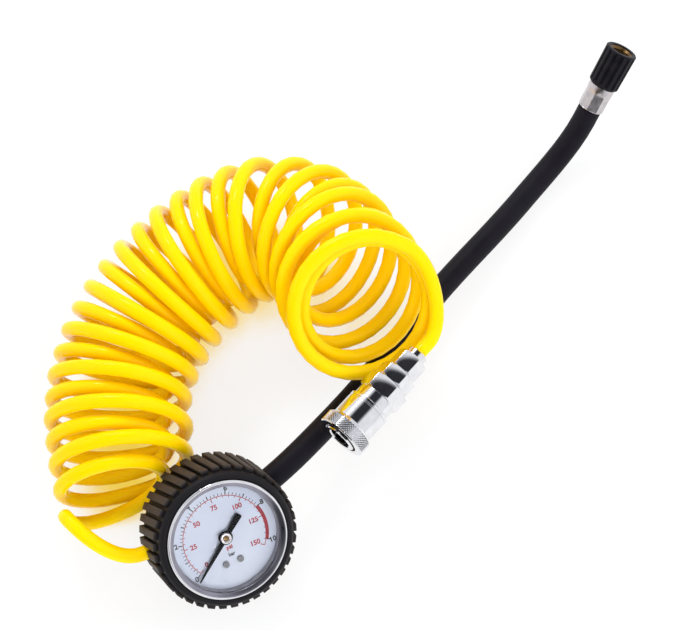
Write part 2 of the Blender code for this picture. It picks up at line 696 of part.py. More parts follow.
def make_manifold():
    top = case_back - FIT_GAP
    bore = SOCKET_RADIUS + FIT_GAP
    low = BOOT_BACK + FIT_GAP
    profile = [(0, manifold_mid), (bore, manifold_mid), (bore, top), (MANIFOLD_RADIUS, top),
               (MANIFOLD_RADIUS, low), (0, low)]
    body = turned("manifold", profile, gauge, BRASS, MIDDLE_ROUND)
    inside = bore + FIT_GAP
    for name, angle in (("outlet_fitting", OUTLET_ANGLE), ("inlet_fitting", INLET_ANGLE)):
        tube_radius = WHIP_TUBE / 2 if name == "outlet_fitting" else COIL_TUBE / 2
        rod = disc(ARM_RADIUS - FIT_GAP, inside, arm_reach)
        arm = turned(name + "_arm", rod, gauge, None, SMALL_ROUND, cutters)
        arm.matrix_local = across(angle, manifold_mid)
        join(body, arm)
        step = arm_reach + FIT_GAP
        seat = fitting_reach - FITTING_BARB
        fitting = turned(name, [(0, fitting_reach), (tube_radius, fitting_reach), (tube_radius, seat),
                                (ARM_RADIUS - FIT_GAP, seat), (ARM_RADIUS - FIT_GAP, step), (0, step)],
                         gauge, BRASS, SMALL_ROUND)
        fitting.matrix_local = across(angle, manifold_mid)


def outward(angle, reach):
    """World place and direction of a hose that leaves the manifold."""
    direction = np.array(gauge_turn @ Vector((math.cos(angle), math.sin(angle), 0)))
    middle = np.array(gauge_place + gauge_turn @ Vector((0, 0, manifold_mid)))
    return middle + reach * direction, direction


def winding():
    """Centres, axis, radius and turn count along the curly hose, crowded on the inner side of a bend."""
    stations = np.array(COIL_STATIONS)
    stations[:, :3] *= MM
    stations[:, 3:5] *= DEG
    stations[:, 5] *= MM
    knots = chords(stations[:, :3])
    rows = natural_spline(knots, stations, np.linspace(0, knots[-1], 4000))
    centre, heading, lean, radius = rows[:, :3], rows[:, 3], rows[:, 4], rows[:, 5]
    axis = np.stack([np.cos(heading) * np.cos(lean), np.sin(heading) * np.cos(lean), np.sin(lean)], axis=1)
    ahead = (np.diff(centre, axis=0) * (axis[1:] + axis[:-1]) / 2).sum(axis=1)
    closing = radius[1:] * np.linalg.norm(np.diff(axis, axis=0), axis=1)
    inner = np.maximum(ahead - closing, 0.01 * ahead)
    turns = np.cumsum(np.minimum(inner / CURL_INNER_PITCH, ahead / CURL_PITCH))
    return centre, axis, radius, COIL_CURLS * np.concatenate([[0], turns]) / turns[-1]


def coil_points():
    """Every other curl steps inwards past the next on the inner side of the bend, so that none touch."""
    centre, axis, radius, turns = winding()
    steps = np.arange(COIL_CURLS * CURL_POINTS) / CURL_POINTS
    middle = np.stack([np.interp(steps, turns, centre[:, k]) for k in range(3)], axis=1)
    way = unit(np.stack([np.interp(steps, turns, axis[:, k]) for k in range(3)], axis=1))
    side = unit(np.cross((0, 0, 1), way))
    up = np.cross(way, side)
    angle = -2 * math.pi * steps
    bend = np.gradient(way, axis=0)
    inner_angle = np.unwrap(np.arctan2((bend * up).sum(axis=1), (bend * side).sum(axis=1)))
    inside = (1 + np.cos(angle - inner_angle)) / 2
    step_in = CURL_STAGGER * inside * np.cos(math.pi * steps + inner_angle / 2)
    reach = np.interp(steps, turns, radius) - step_in
    curls = middle + reach[:, None] * (np.cos(angle)[:, None] * side + np.sin(angle)[:, None] * up)
    start, leave = outward(INLET_ANGLE, fitting_reach + FIT_GAP)
    wall, leave = outward(INLET_ANGLE, boot_radius + COIL_TUBE / 4)
    tail = np.array(COUPLER_PLACE) + (0, coupler_length + FIT_GAP, 0)
    square = tail + (0, COIL_TUBE, 0)
    first_way = unit(curls[1] - curls[0] + (curls[1] - curls[0]) - (curls[2] - curls[1]))
    last_way = unit((curls[-1] - curls[-2]) * 2 - (curls[-2] - curls[-3]))
    lead_in = hermite(wall, LEAD_IN_LEAVE * leave, curls[0], LEAD_IN_ARRIVE * first_way, LEAD_IN_POINTS)
    arrive = LEAD_OUT_ARRIVE * np.array((0, -1, 0))
    lead_out = hermite(curls[-1], LEAD_OUT_LEAVE * last_way, square, arrive, LEAD_OUT_POINTS)
    return np.concatenate([[start], [wall], lead_in, curls, lead_out, [square], [tail]])


def least_gap(points, diameter, apart):
    """Smallest air between stretches of a tube that are further apart than the given length along it."""
    length = chords(points)
    even = np.arange(0, length[-1], diameter / 4)
    dense = np.stack([np.interp(even, length, points[:, k]) for k in range(3)], axis=1)
    least = np.inf
    for place, spot in zip(even, dense):
        far = np.abs(even - place) > apart
        least = min(least, np.linalg.norm(dense[far] - spot, axis=1).min())
    return least - diameter


def make_hoses():
    coil = coil_points()
    print("curly hose length", round(chords(coil)[-1], 4), "m in", len(coil), "points")
    gap = least_gap(coil, COIL_TUBE, 8 * COIL_TUBE)
    print("curly hose least gap to itself", round(gap / MM, 2), "mm")
    print("curly hose lowest point", round((coil[:, 2].min() - COIL_TUBE / 2) / MM, 2), "mm")
    tube("coil_hose", coil, COIL_TUBE / 2, 1, None, YELLOW)
    start, leave = outward(OUTLET_ANGLE, fitting_reach + FIT_GAP)
    wall, leave = outward(OUTLET_ANGLE, boot_radius + WHIP_TUBE / 3)
    aim = np.array(chuck_turn @ Vector((0, 0, 1)))
    end = np.array(CHUCK_PLACE) - (CHUCK_LENGTH + FERRULE_LENGTH + 3 * FIT_GAP) * aim
    straight = end - WHIP_TUBE * aim
    route = np.concatenate([[start], [wall], np.array(WHIP_ROUTE) * MM, [straight], [end]])
    knots = chords(route)
    whip = natural_spline(knots, route, np.linspace(0, knots[-1], WHIP_POINTS))
    print("whip hose length", round(chords(whip)[-1], 4), "m")
    tube("whip_hose", whip, WHIP_TUBE / 2, 3, None, HOSE_RUBBER)
    close = natural_spline(knots, route, np.linspace(0, knots[-1], 300))
    apart = np.linalg.norm(coil[:, None] - close, axis=2)
    clear = apart.min() - COIL_TUBE / 2 - WHIP_TUBE / 2
    print("curly hose to whip hose, points", round(clear / MM, 2), "mm")


def hex_block(name, across_flats, low, high, parent, paint, collection=parts):
    return flat(name, [hexagon(across_flats)], low, high - low, parent, paint, collection)


# Depths along the coupler, from its mouth
body_back = SLEEVE_START + SLEEVE_LENGTH + SLEEVE_TRAVEL + FIT_GAP + BODY_HEX_LENGTH
adapter_back = body_back + FIT_GAP + ADAPTER_HEX_LENGTH
coupler_length = adapter_back + FIT_GAP + NUT_HEX_LENGTH + NUT_TAIL_LENGTH
hex_face = body_back - BODY_HEX_LENGTH
land_front = BALL_DEPTH - LAND_LEAD
land_back = land_front + LAND_LENGTH
relief_radius = BALL_REACH + BALL_RADIUS + BALL_TRAVEL + FIT_GAP
land_radius = BARREL_RADIUS + FIT_GAP


def make_coupler_body():
    groove = COUPLER_BORE + SEAL_DIP
    seal_half = SEAL_HEIGHT / 2 + FIT_GAP
    guide_front = hex_face - GUIDE_LENGTH
    seal_back = -SEAL_DEPTH - seal_half
    seal_front = -SEAL_DEPTH + seal_half
    profile = [(BARREL_RADIUS, 0), (BARREL_RADIUS, -guide_front), (GUIDE_RADIUS, -guide_front),
               (GUIDE_RADIUS, -body_back), (CHAMBER_RADIUS, -body_back), (CHAMBER_RADIUS, -BORE_DEPTH),
               (COUPLER_BORE, -BORE_DEPTH), (COUPLER_BORE, seal_back), (groove, seal_back),
               (groove, seal_front), (COUPLER_BORE, seal_front), (COUPLER_BORE, 0)]
    body = turned("coupler_body", profile, coupler, CHROME)
    blank = hex_block("body_hex", BODY_HEX, -body_back, -hex_face, coupler, None, cutters)
    bore = disc(CHAMBER_RADIUS + FIT_GAP, -body_back - MM, -hex_face + MM)
    cut(blank, turned("body_hex_bore", bore, coupler, None, ROUND, cutters))
    join(body, blank)
    holes = []
    for quarter in range(4):
        way = Matrix.Rotation(quarter * math.pi / 2, 4, 'Z') @ Matrix.Rotation(math.pi / 2, 4, 'Y')
        place = Matrix.Translation((0, 0, -BALL_DEPTH))
        holes.append(place @ way @ Matrix.Translation((0, 0, BARREL_RADIUS)))
    through = 2 * (BARREL_RADIUS - COUPLER_BORE) + 2 * MM
    cut(body, rods("ball_holes", holes, BALL_RADIUS + FIT_GAP / 2, through, coupler, SCREW_SIDES))
    for quarter in range(4):
        name = f"lock_ball_{quarter + 1}"
        build = bmesh.new()
        bmesh.ops.create_uvsphere(build, u_segments=BALL_SIDES, v_segments=BALL_RINGS, radius=BALL_RADIUS)
        ball = solid(name, build, coupler, STEEL)
        angle = quarter * math.pi / 2
        ball.location = (BALL_REACH * math.cos(angle), BALL_REACH * math.sin(angle), -BALL_DEPTH)
    seal_inner = COUPLER_BORE - RUN_GAP
    seal = ring(seal_inner, groove - FIT_GAP, seal_back + FIT_GAP, seal_front - FIT_GAP)
    turned("mouth_seal", seal, coupler, SEAL_RUBBER, MIDDLE_ROUND)
    stop = ring(BARREL_RADIUS + FIT_GAP, relief_radius - FIT_GAP, -RING_DEPTH - RING_HEIGHT, -RING_DEPTH)
    turned("retaining_ring", stop, coupler, STEEL, MIDDLE_ROUND)


def make_sleeve():
    back = SLEEVE_START + SLEEVE_LENGTH
    knurl_back = SLEEVE_START + KNURL_LENGTH
    skirt = GUIDE_RADIUS + FIT_GAP
    profile = [(KNURL_RADIUS - SLEEVE_BEVEL, -SLEEVE_START), (KNURL_RADIUS, -SLEEVE_START - SLEEVE_BEVEL),
               (KNURL_RADIUS, -knurl_back), (SLEEVE_RADIUS, -knurl_back - (KNURL_RADIUS - SLEEVE_RADIUS)),
               (SLEEVE_RADIUS, -back), (skirt, -back), (skirt, -land_back), (land_radius, -land_back),
               (land_radius, -land_front), (relief_radius, -land_front + relief_radius - land_radius),
               (relief_radius, -SLEEVE_START)]
    turned("coupler_sleeve", profile, coupler, CHROME)
    spring_mid = (BARREL_RADIUS + skirt) / 2
    low = -(hex_face - GUIDE_LENGTH) + SPRING_WIRE + FIT_GAP
    high = -land_back - SPRING_WIRE - FIT_GAP
    helix("sleeve_spring", spring_mid, low, high)


def helix(name, radius, low, high):
    count = SPRING_POINTS * SPRING_CURLS
    points = []
    for step in range(count + 1):
        angle = 2 * math.pi * step / SPRING_POINTS
        height = low + (high - low) * step / count
        points.append((radius * math.cos(angle), radius * math.sin(angle), height))
    tube(name, points, SPRING_WIRE, 0, coupler, STEEL)


def make_coupler_tail():
    spigot_front = body_back + FIT_GAP - ADAPTER_SPIGOT
    spigot = CHAMBER_RADIUS - FIT_GAP
    pipe = ring(AIR_WAY, spigot, -adapter_back, -spigot_front)
    adapter = turned("coupler_adapter", pipe, coupler, CHROME, MIDDLE_ROUND)
    front = -body_back - FIT_GAP
    blank = hex_block("adapter_hex", ADAPTER_HEX, -adapter_back, front, coupler, None, cutters)
    bore = disc(AIR_WAY + FIT_GAP, -adapter_back - MM, -body_back + MM)
    cut(blank, turned("adapter_hex_bore", bore, coupler, None, MIDDLE_ROUND, cutters))
    join(adapter, blank)
    nut_front = adapter_back + FIT_GAP
    pipe = ring(AIR_WAY, NUT_TAIL_RADIUS, -coupler_length, -nut_front)
    nut = turned("hose_nut", pipe, coupler, CHROME, MIDDLE_ROUND)
    hex_back = nut_front + NUT_HEX_LENGTH
    blank = hex_block("nut_hex", NUT_HEX, -hex_back, -nut_front, coupler, None, cutters)
    bore = disc(AIR_WAY + FIT_GAP, -hex_back - MM, -nut_front + MM)
    cut(blank, turned("nut_hex_bore", bore, coupler, None, MIDDLE_ROUND, cutters))
    join(nut, blank)
    flange_front = BORE_DEPTH + FIT_GAP
    flange_back = flange_front + POPPET_FLANGE
    nose_front = flange_front - POPPET_NOSE_LENGTH
    flange = CHAMBER_RADIUS - RUN_GAP
    profile = [(0, -nose_front), (POPPET_NOSE, -nose_front), (POPPET_NOSE, -flange_front),
               (flange, -flange_front), (flange, -flange_back), (0, -flange_back)]
    turned("valve_poppet", profile, coupler, BRASS, MIDDLE_ROUND)
    low = -spigot_front + SPRING_WIRE + FIT_GAP
    high = -flange_back - SPRING_WIRE - FIT_GAP
    helix("poppet_spring", (AIR_WAY + CHAMBER_RADIUS) / 2, low, high)


def make_chuck():
    cavity = COLLAR_RADIUS + RUN_GAP
    insert_hole = INSERT_RADIUS + FIT_GAP
    neck_hole = NECK_RADIUS + RUN_GAP
    wall_front = -CHUCK_LENGTH + CHUCK_BACK
    insert_back = -INSERT_LENGTH - FIT_GAP
    edge = CHUCK_EDGE
    profile = [(CHUCK_RADIUS - edge, 0), (CHUCK_RADIUS, -edge), (CHUCK_RADIUS, -CHUCK_LENGTH + edge),
               (CHUCK_RADIUS - edge, -CHUCK_LENGTH), (neck_hole, -CHUCK_LENGTH), (neck_hole, wall_front),
               (cavity, wall_front), (cavity, insert_back - FIT_GAP), (insert_hole, insert_back - FIT_GAP),
               (insert_hole, 0)]
    nut = turned("chuck_nut", profile, chuck, BLACK, 3 * FLUTES)
    flute_length = CHUCK_LENGTH - 2 * FLUTE_STOP
    places = []
    for flute in range(FLUTES):
        spin = Matrix.Rotation(2 * math.pi * flute / FLUTES, 4, 'Z')
        places.append(spin @ Matrix.Translation((CHUCK_RADIUS + FLUTE_RADIUS / 3, 0, -CHUCK_LENGTH / 2)))
    cut(nut, rods("flutes", places, FLUTE_RADIUS, flute_length, chuck, 8))
    turned("chuck_insert", ring(INSERT_BORE, INSERT_RADIUS, -INSERT_LENGTH, -FIT_GAP), chuck, BRASS,
           MIDDLE_ROUND)
    collar_back = wall_front + RUN_GAP
    collar_front = insert_back - SEAL_THICK - 2 * FIT_GAP
    stem_back = -CHUCK_LENGTH - FIT_GAP - STEM_IN_FERRULE
    profile = [(0, collar_front), (COLLAR_RADIUS, collar_front), (COLLAR_RADIUS, collar_back),
               (NECK_RADIUS, collar_back), (NECK_RADIUS, stem_back), (0, stem_back)]
    turned("chuck_stem", profile, chuck, BRASS, MIDDLE_ROUND)
    seal_low = collar_front + FIT_GAP
    turned("chuck_seal", ring(SEAL_HOLE, COLLAR_RADIUS, seal_low, seal_low + SEAL_THICK), chuck,
           SEAL_RUBBER, MIDDLE_ROUND)
    turned("chuck_pin", disc(PIN_RADIUS, seal_low, seal_low + PIN_LENGTH), chuck, BRASS, SCREW_SIDES)
    front = -CHUCK_LENGTH - FIT_GAP
    back = front - FERRULE_LENGTH
    hole = NECK_RADIUS + FIT_GAP
    bottom = stem_back - FIT_GAP
    turned("ferrule", [(0, bottom), (hole, bottom), (hole, front), (FERRULE_RADIUS - edge, front),
                       (FERRULE_RADIUS, front - edge), (FERRULE_RADIUS, back), (0, back)],
           chuck, CHROME, FERRULE_SIDES)


make_boot()
make_case()
make_dial()
make_movement()
make_pointer()
make_sector()
make_bourdon()
make_hairspring()
make_manifold()
make_coupler_body()
make_sleeve()
make_coupler_tail()
make_chuck()
make_hoses()
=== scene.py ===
import math

import bmesh
import bpy
import numpy as np
from mathutils import Matrix, Vector, kdtree


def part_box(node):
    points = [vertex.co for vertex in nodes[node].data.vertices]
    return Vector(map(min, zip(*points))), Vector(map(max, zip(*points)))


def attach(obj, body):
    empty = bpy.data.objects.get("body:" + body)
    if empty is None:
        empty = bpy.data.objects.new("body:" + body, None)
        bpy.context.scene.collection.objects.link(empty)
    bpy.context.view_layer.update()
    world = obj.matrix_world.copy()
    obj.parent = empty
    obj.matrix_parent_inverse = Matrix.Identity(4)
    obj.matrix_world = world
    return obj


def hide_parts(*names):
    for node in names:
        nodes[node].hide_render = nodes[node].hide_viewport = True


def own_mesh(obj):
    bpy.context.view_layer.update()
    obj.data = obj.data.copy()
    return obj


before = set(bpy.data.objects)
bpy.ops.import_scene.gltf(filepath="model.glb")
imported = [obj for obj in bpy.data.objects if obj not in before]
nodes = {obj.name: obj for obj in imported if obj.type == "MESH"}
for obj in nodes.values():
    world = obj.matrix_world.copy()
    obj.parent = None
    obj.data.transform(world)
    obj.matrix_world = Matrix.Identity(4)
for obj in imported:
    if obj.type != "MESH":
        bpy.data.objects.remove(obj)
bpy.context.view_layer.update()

mm = 0.001
turn = 2 * math.pi

# where the three rigid groups stand, as in the part's source
gaugeStand = {"place": (-9.20, 2.85, 19.203), "facing": -17.1, "lean": 37.9, "roll": 82.3}
chuckStand = {"place": (-12.1, 313.6, 50.0), "heading": 97.0, "rise": 41.0}
couplerStand = {"place": (15.3, 70.0, 42.0)}


def standing(place, *turns):
    made = Matrix.Translation(Vector(place) * mm)
    for degrees, axis in turns:
        made = made @ Matrix.Rotation(math.radians(degrees), 4, axis)
    return made


gaugeAt = standing(gaugeStand["place"], (gaugeStand["facing"], 'Z'), (gaugeStand["lean"], 'Y'),
                   (gaugeStand["roll"], 'Z'))
chuckAt = standing(chuckStand["place"], (chuckStand["heading"] - 90, 'Z'), (chuckStand["rise"] - 90, 'X'))
couplerAt = standing(couplerStand["place"], (90, 'X'))


# ---- camera, light and floor come first
shot = {"place": (0.3036, -0.2554, 1.4095), "aim": (-0.03631, 0.12884, 0.0), "lens": 158.8, "sensor": 36.0}
studio = {
    "sky": (0.95, 0.96, 1.0), "skyPower": 0.97,      # pale walls all round
    "dark": (0.03, 0.03, 0.035),
    # dark parts of the room that only metal mirrors: a direction, and how near to it they start and are full
    "darkParts": [((0.0, 0.0, 1.0), 0.80, 0.93), ((0.29, -0.84, 0.46), 0.80, 0.90)],
    "floorColour": (0.92, 0.92, 0.92), "floorGlow": 0.78, "floorSize": 6.0,
    # a painted pool of yellow light on the floor, laid on where the curls shade it
    "tubeLight": {"colour": (1.0, 0.70, 0.06), "reach": 0.035, "covered": (0.30, 0.55), "samples": 16,
                  # the middle of the arch and of the gauge, and how far from each the painted tint ends and starts
                  "arch": (-0.055, 0.075, 0.0), "archFade": (0.085, 0.125),
                  "gauge": (0.0, 0.0, 0.0), "gaugeFade": (0.046, 0.030)},
    "lamps": [
        # name, place, width and height in metres, power in watts, whether shiny pieces mirror it
        ("keyPanel", (-0.85, 0.55, 0.95), 1.1, 0.9, 4.5, False),
        ("sidePanel", (0.85, 0.75, 0.75), 0.6, 0.4, 2.5, False),
        ("frontPanel", (0.95, -0.55, 0.70), 0.6, 0.4, 6.0, False),
        ("glintPanel", (-0.80, 0.52, 0.90), 0.34, 0.14, 4.0, True),
    ],
}


def aimed(made, place, aim):
    made.location = place
    made.rotation_euler = (Vector(aim) - Vector(place)).to_track_quat('-Z', 'Y').to_euler()


def makeCamera():
    lens = bpy.data.cameras.new("photoCamera")
    lens.lens = shot["lens"]
    lens.sensor_width = shot["sensor"]
    lens.clip_start = 0.05
    lens.clip_end = 20
    camera = bpy.data.objects.new("photoCamera", lens)
    bpy.context.scene.collection.objects.link(camera)
    aimed(camera, shot["place"], shot["aim"])
    bpy.context.scene.camera = camera


def seenByEye(tree):
    # camera, mirror and glass rays together
    path = tree.nodes.new("ShaderNodeLightPath")
    eyeOrMirror = tree.nodes.new("ShaderNodeMath")
    eyeOrMirror.operation = 'MAXIMUM'
    tree.links.new(path.outputs["Is Camera Ray"], eyeOrMirror.inputs[0])
    tree.links.new(path.outputs["Is Glossy Ray"], eyeOrMirror.inputs[1])
    orGlass = tree.nodes.new("ShaderNodeMath")
    orGlass.operation = 'MAXIMUM'
    tree.links.new(eyeOrMirror.outputs[0], orGlass.inputs[0])
    tree.links.new(path.outputs["Is Transmission Ray"], orGlass.inputs[1])
    return orGlass.outputs[0]


def tubeLight(tree):
    # paper that the curls cover is painted in the colour of the light that comes through the clear tube: a painted pool
    # of yellow light, strongest where the curls shade the paper most
    glow = studio["tubeLight"]
    # how much the curls shade the paper: the more shade, the more painted yellow
    covered = tree.nodes.new("ShaderNodeAmbientOcclusion")
    covered.samples = glow["samples"]
    covered.inputs["Distance"].default_value = glow["reach"]
    shade = tree.nodes.new("ShaderNodeMapRange")
    shade.interpolation_type = 'SMOOTHSTEP'
    shade.inputs["From Min"].default_value, shade.inputs["From Max"].default_value = glow["covered"]
    tree.links.new(covered.outputs["AO"], shade.inputs[0])
    where = tree.nodes.new("ShaderNodeNewGeometry")
    white = shade.outputs[0]
    for middle in ("arch", "gauge"):
        away = tree.nodes.new("ShaderNodeVectorMath")
        away.operation = 'DISTANCE'
        away.inputs[1].default_value = glow[middle]
        tree.links.new(where.outputs["Position"], away.inputs[0])
        edge = tree.nodes.new("ShaderNodeMapRange")
        edge.interpolation_type = 'SMOOTHSTEP'
        near, far = glow[middle + "Fade"]
        edge.inputs["From Min"].default_value = min(near, far)
        edge.inputs["From Max"].default_value = max(near, far)
        edge.inputs["To Min"].default_value = float(near > far)
        edge.inputs["To Max"].default_value = float(near < far)
        tree.links.new(away.outputs["Value"], edge.inputs[0])
        clear = tree.nodes.new("ShaderNodeMath")
        clear.operation = 'MAXIMUM'
        tree.links.new(white, clear.inputs[0])
        tree.links.new(edge.outputs[0], clear.inputs[1])
        white = clear.outputs[0]
    mix = tree.nodes.new("ShaderNodeMix")
    mix.data_type = 'RGBA'
    mix.inputs["A"].default_value = (*glow["colour"], 1)
    mix.inputs["B"].default_value = (1, 1, 1, 1)
    tree.links.new(white, mix.inputs["Factor"])
    return mix.outputs["Result"]


def makeStudio():
    bpy.context.scene.view_settings.view_transform = 'Standard'
    world = bpy.data.worlds.new("studioWalls")
    bpy.context.scene.world = world
    world.use_nodes = True
    tree = world.node_tree
    back = tree.nodes["Background"]
    back.inputs["Strength"].default_value = studio["skyPower"]
    where = tree.nodes.new("ShaderNodeTexCoord")
    path = tree.nodes.new("ShaderNodeLightPath")
    shade = None
    for way, start, full in studio["darkParts"]:
        near = tree.nodes.new("ShaderNodeVectorMath")
        near.operation = 'DOT_PRODUCT'
        near.inputs[1].default_value = Vector(way).normalized()
        tree.links.new(where.outputs["Generated"], near.inputs[0])
        edge = tree.nodes.new("ShaderNodeMapRange")
        edge.interpolation_type = 'SMOOTHSTEP'
        edge.inputs["From Min"].default_value = start
        edge.inputs["From Max"].default_value = full
        tree.links.new(near.outputs["Value"], edge.inputs[0])
        mirrored = tree.nodes.new("ShaderNodeMath")
        mirrored.operation = 'MULTIPLY'
        tree.links.new(edge.outputs[0], mirrored.inputs[0])
        tree.links.new(path.outputs["Is Glossy Ray"], mirrored.inputs[1])
        mix = tree.nodes.new("ShaderNodeMix")
        mix.data_type = 'RGBA'
        mix.inputs["A"].default_value = (*studio["sky"], 1)
        mix.inputs["B"].default_value = (*studio["dark"], 1)
        tree.links.new(mirrored.outputs[0], mix.inputs["Factor"])
        if shade:
            tree.links.new(shade, mix.inputs["A"])
        shade = mix.outputs["Result"]
    # past the edge of the floor the eye sees plain white
    eye = tree.nodes.new("ShaderNodeMix")
    eye.data_type = 'RGBA'
    eye.inputs["B"].default_value = (*(1 / studio["skyPower"],) * 3, 1)
    tree.links.new(shade, eye.inputs["A"])
    tree.links.new(path.outputs["Is Camera Ray"], eye.inputs["Factor"])
    tree.links.new(eye.outputs["Result"], back.inputs["Color"])

    paper = bpy.data.materials.new("floorPaper")
    paper.use_nodes = True
    tree = paper.node_tree
    shader = tree.nodes["Principled BSDF"]
    shader.inputs["Base Color"].default_value = (*studio["floorColour"], 1)
    shader.inputs["Roughness"].default_value = 0.9
    shader.inputs["Specular IOR Level"].default_value = 0.0
    # the glow that the eye sees carries the painted yellow light under the curls
    glow = tree.nodes.new("ShaderNodeEmission")
    tree.links.new(tubeLight(tree), glow.inputs["Color"])
    mix = tree.nodes.new("ShaderNodeMixShader")
    seen = seenByEye(tree)
    share = tree.nodes.new("ShaderNodeMath")
    share.operation = 'MULTIPLY'
    share.inputs[1].default_value = studio["floorGlow"]
    tree.links.new(seen, share.inputs[0])
    tree.links.new(share.outputs[0], mix.inputs[0])
    tree.links.new(shader.outputs[0], mix.inputs[1])
    tree.links.new(glow.outputs[0], mix.inputs[2])
    tree.links.new(mix.outputs[0], tree.nodes["Material Output"].inputs["Surface"])
    sheet = bmesh.new()
    bmesh.ops.create_grid(sheet, x_segments=1, y_segments=1, size=studio["floorSize"] / 2)
    floor = meshObject("floor", sheet, paper)
    for name, place, wide, high, power, mirrored in studio["lamps"]:
        lamp = bpy.data.lights.new(name, 'AREA')
        lamp.shape = 'RECTANGLE'
        lamp.size = wide
        lamp.size_y = high
        lamp.energy = power
        made = bpy.data.objects.new(name, lamp)
        made.visible_glossy = mirrored
        bpy.context.scene.collection.objects.link(made)
        aimed(made, place, shot["aim"])
    print("studio ready with", len(studio["lamps"]), "panels")


# ---- finishes
def finish(name, look):
    # two tones by a soft noise, roughness by the same noise, fine grain as bump
    made = bpy.data.materials.new(name)
    made.use_nodes = True
    tree = made.node_tree
    shader = tree.nodes["Principled BSDF"]
    where = tree.nodes.new("ShaderNodeTexCoord")
    spread = tree.nodes.new("ShaderNodeMapping")
    spread.inputs["Scale"].default_value = look.get("stretch", (1, 1, 1))
    tree.links.new(where.outputs["Object"], spread.inputs[0])
    cloud = tree.nodes.new("ShaderNodeTexNoise")
    cloud.inputs["Scale"].default_value = look["cloud"]
    cloud.inputs["Detail"].default_value = 4
    tree.links.new(spread.outputs[0], cloud.inputs["Vector"])
    tones = tree.nodes.new("ShaderNodeValToRGB")
    tones.color_ramp.elements[0].position = 0.3
    tones.color_ramp.elements[0].color = (*look["dark"], 1)
    tones.color_ramp.elements[1].position = 0.7
    tones.color_ramp.elements[1].color = (*look["light"], 1)
    tree.links.new(cloud.outputs[0], tones.inputs[0])
    tree.links.new(tones.outputs[0], shader.inputs["Base Color"])
    shine = tree.nodes.new("ShaderNodeMapRange")
    shine.inputs["From Min"].default_value = 0.3
    shine.inputs["From Max"].default_value = 0.7
    shine.inputs["To Min"].default_value, shine.inputs["To Max"].default_value = look["rough"]
    tree.links.new(cloud.outputs[0], shine.inputs[0])
    tree.links.new(shine.outputs[0], shader.inputs["Roughness"])
    if look.get("bump"):
        grain = tree.nodes.new("ShaderNodeTexNoise")
        grain.inputs["Scale"].default_value = look["grain"]
        grain.inputs["Detail"].default_value = 3
        tree.links.new(spread.outputs[0], grain.inputs["Vector"])
        bump = tree.nodes.new("ShaderNodeBump")
        bump.inputs["Strength"].default_value = look["bump"]
        bump.inputs["Distance"].default_value = look.get("bumpDepth", 0.0001)
        tree.links.new(grain.outputs[0], bump.inputs["Height"])
        tree.links.new(bump.outputs[0], shader.inputs["Normal"])
    for socket, value in look.get("sockets", {}).items():
        shader.inputs[socket].default_value = value
    return made


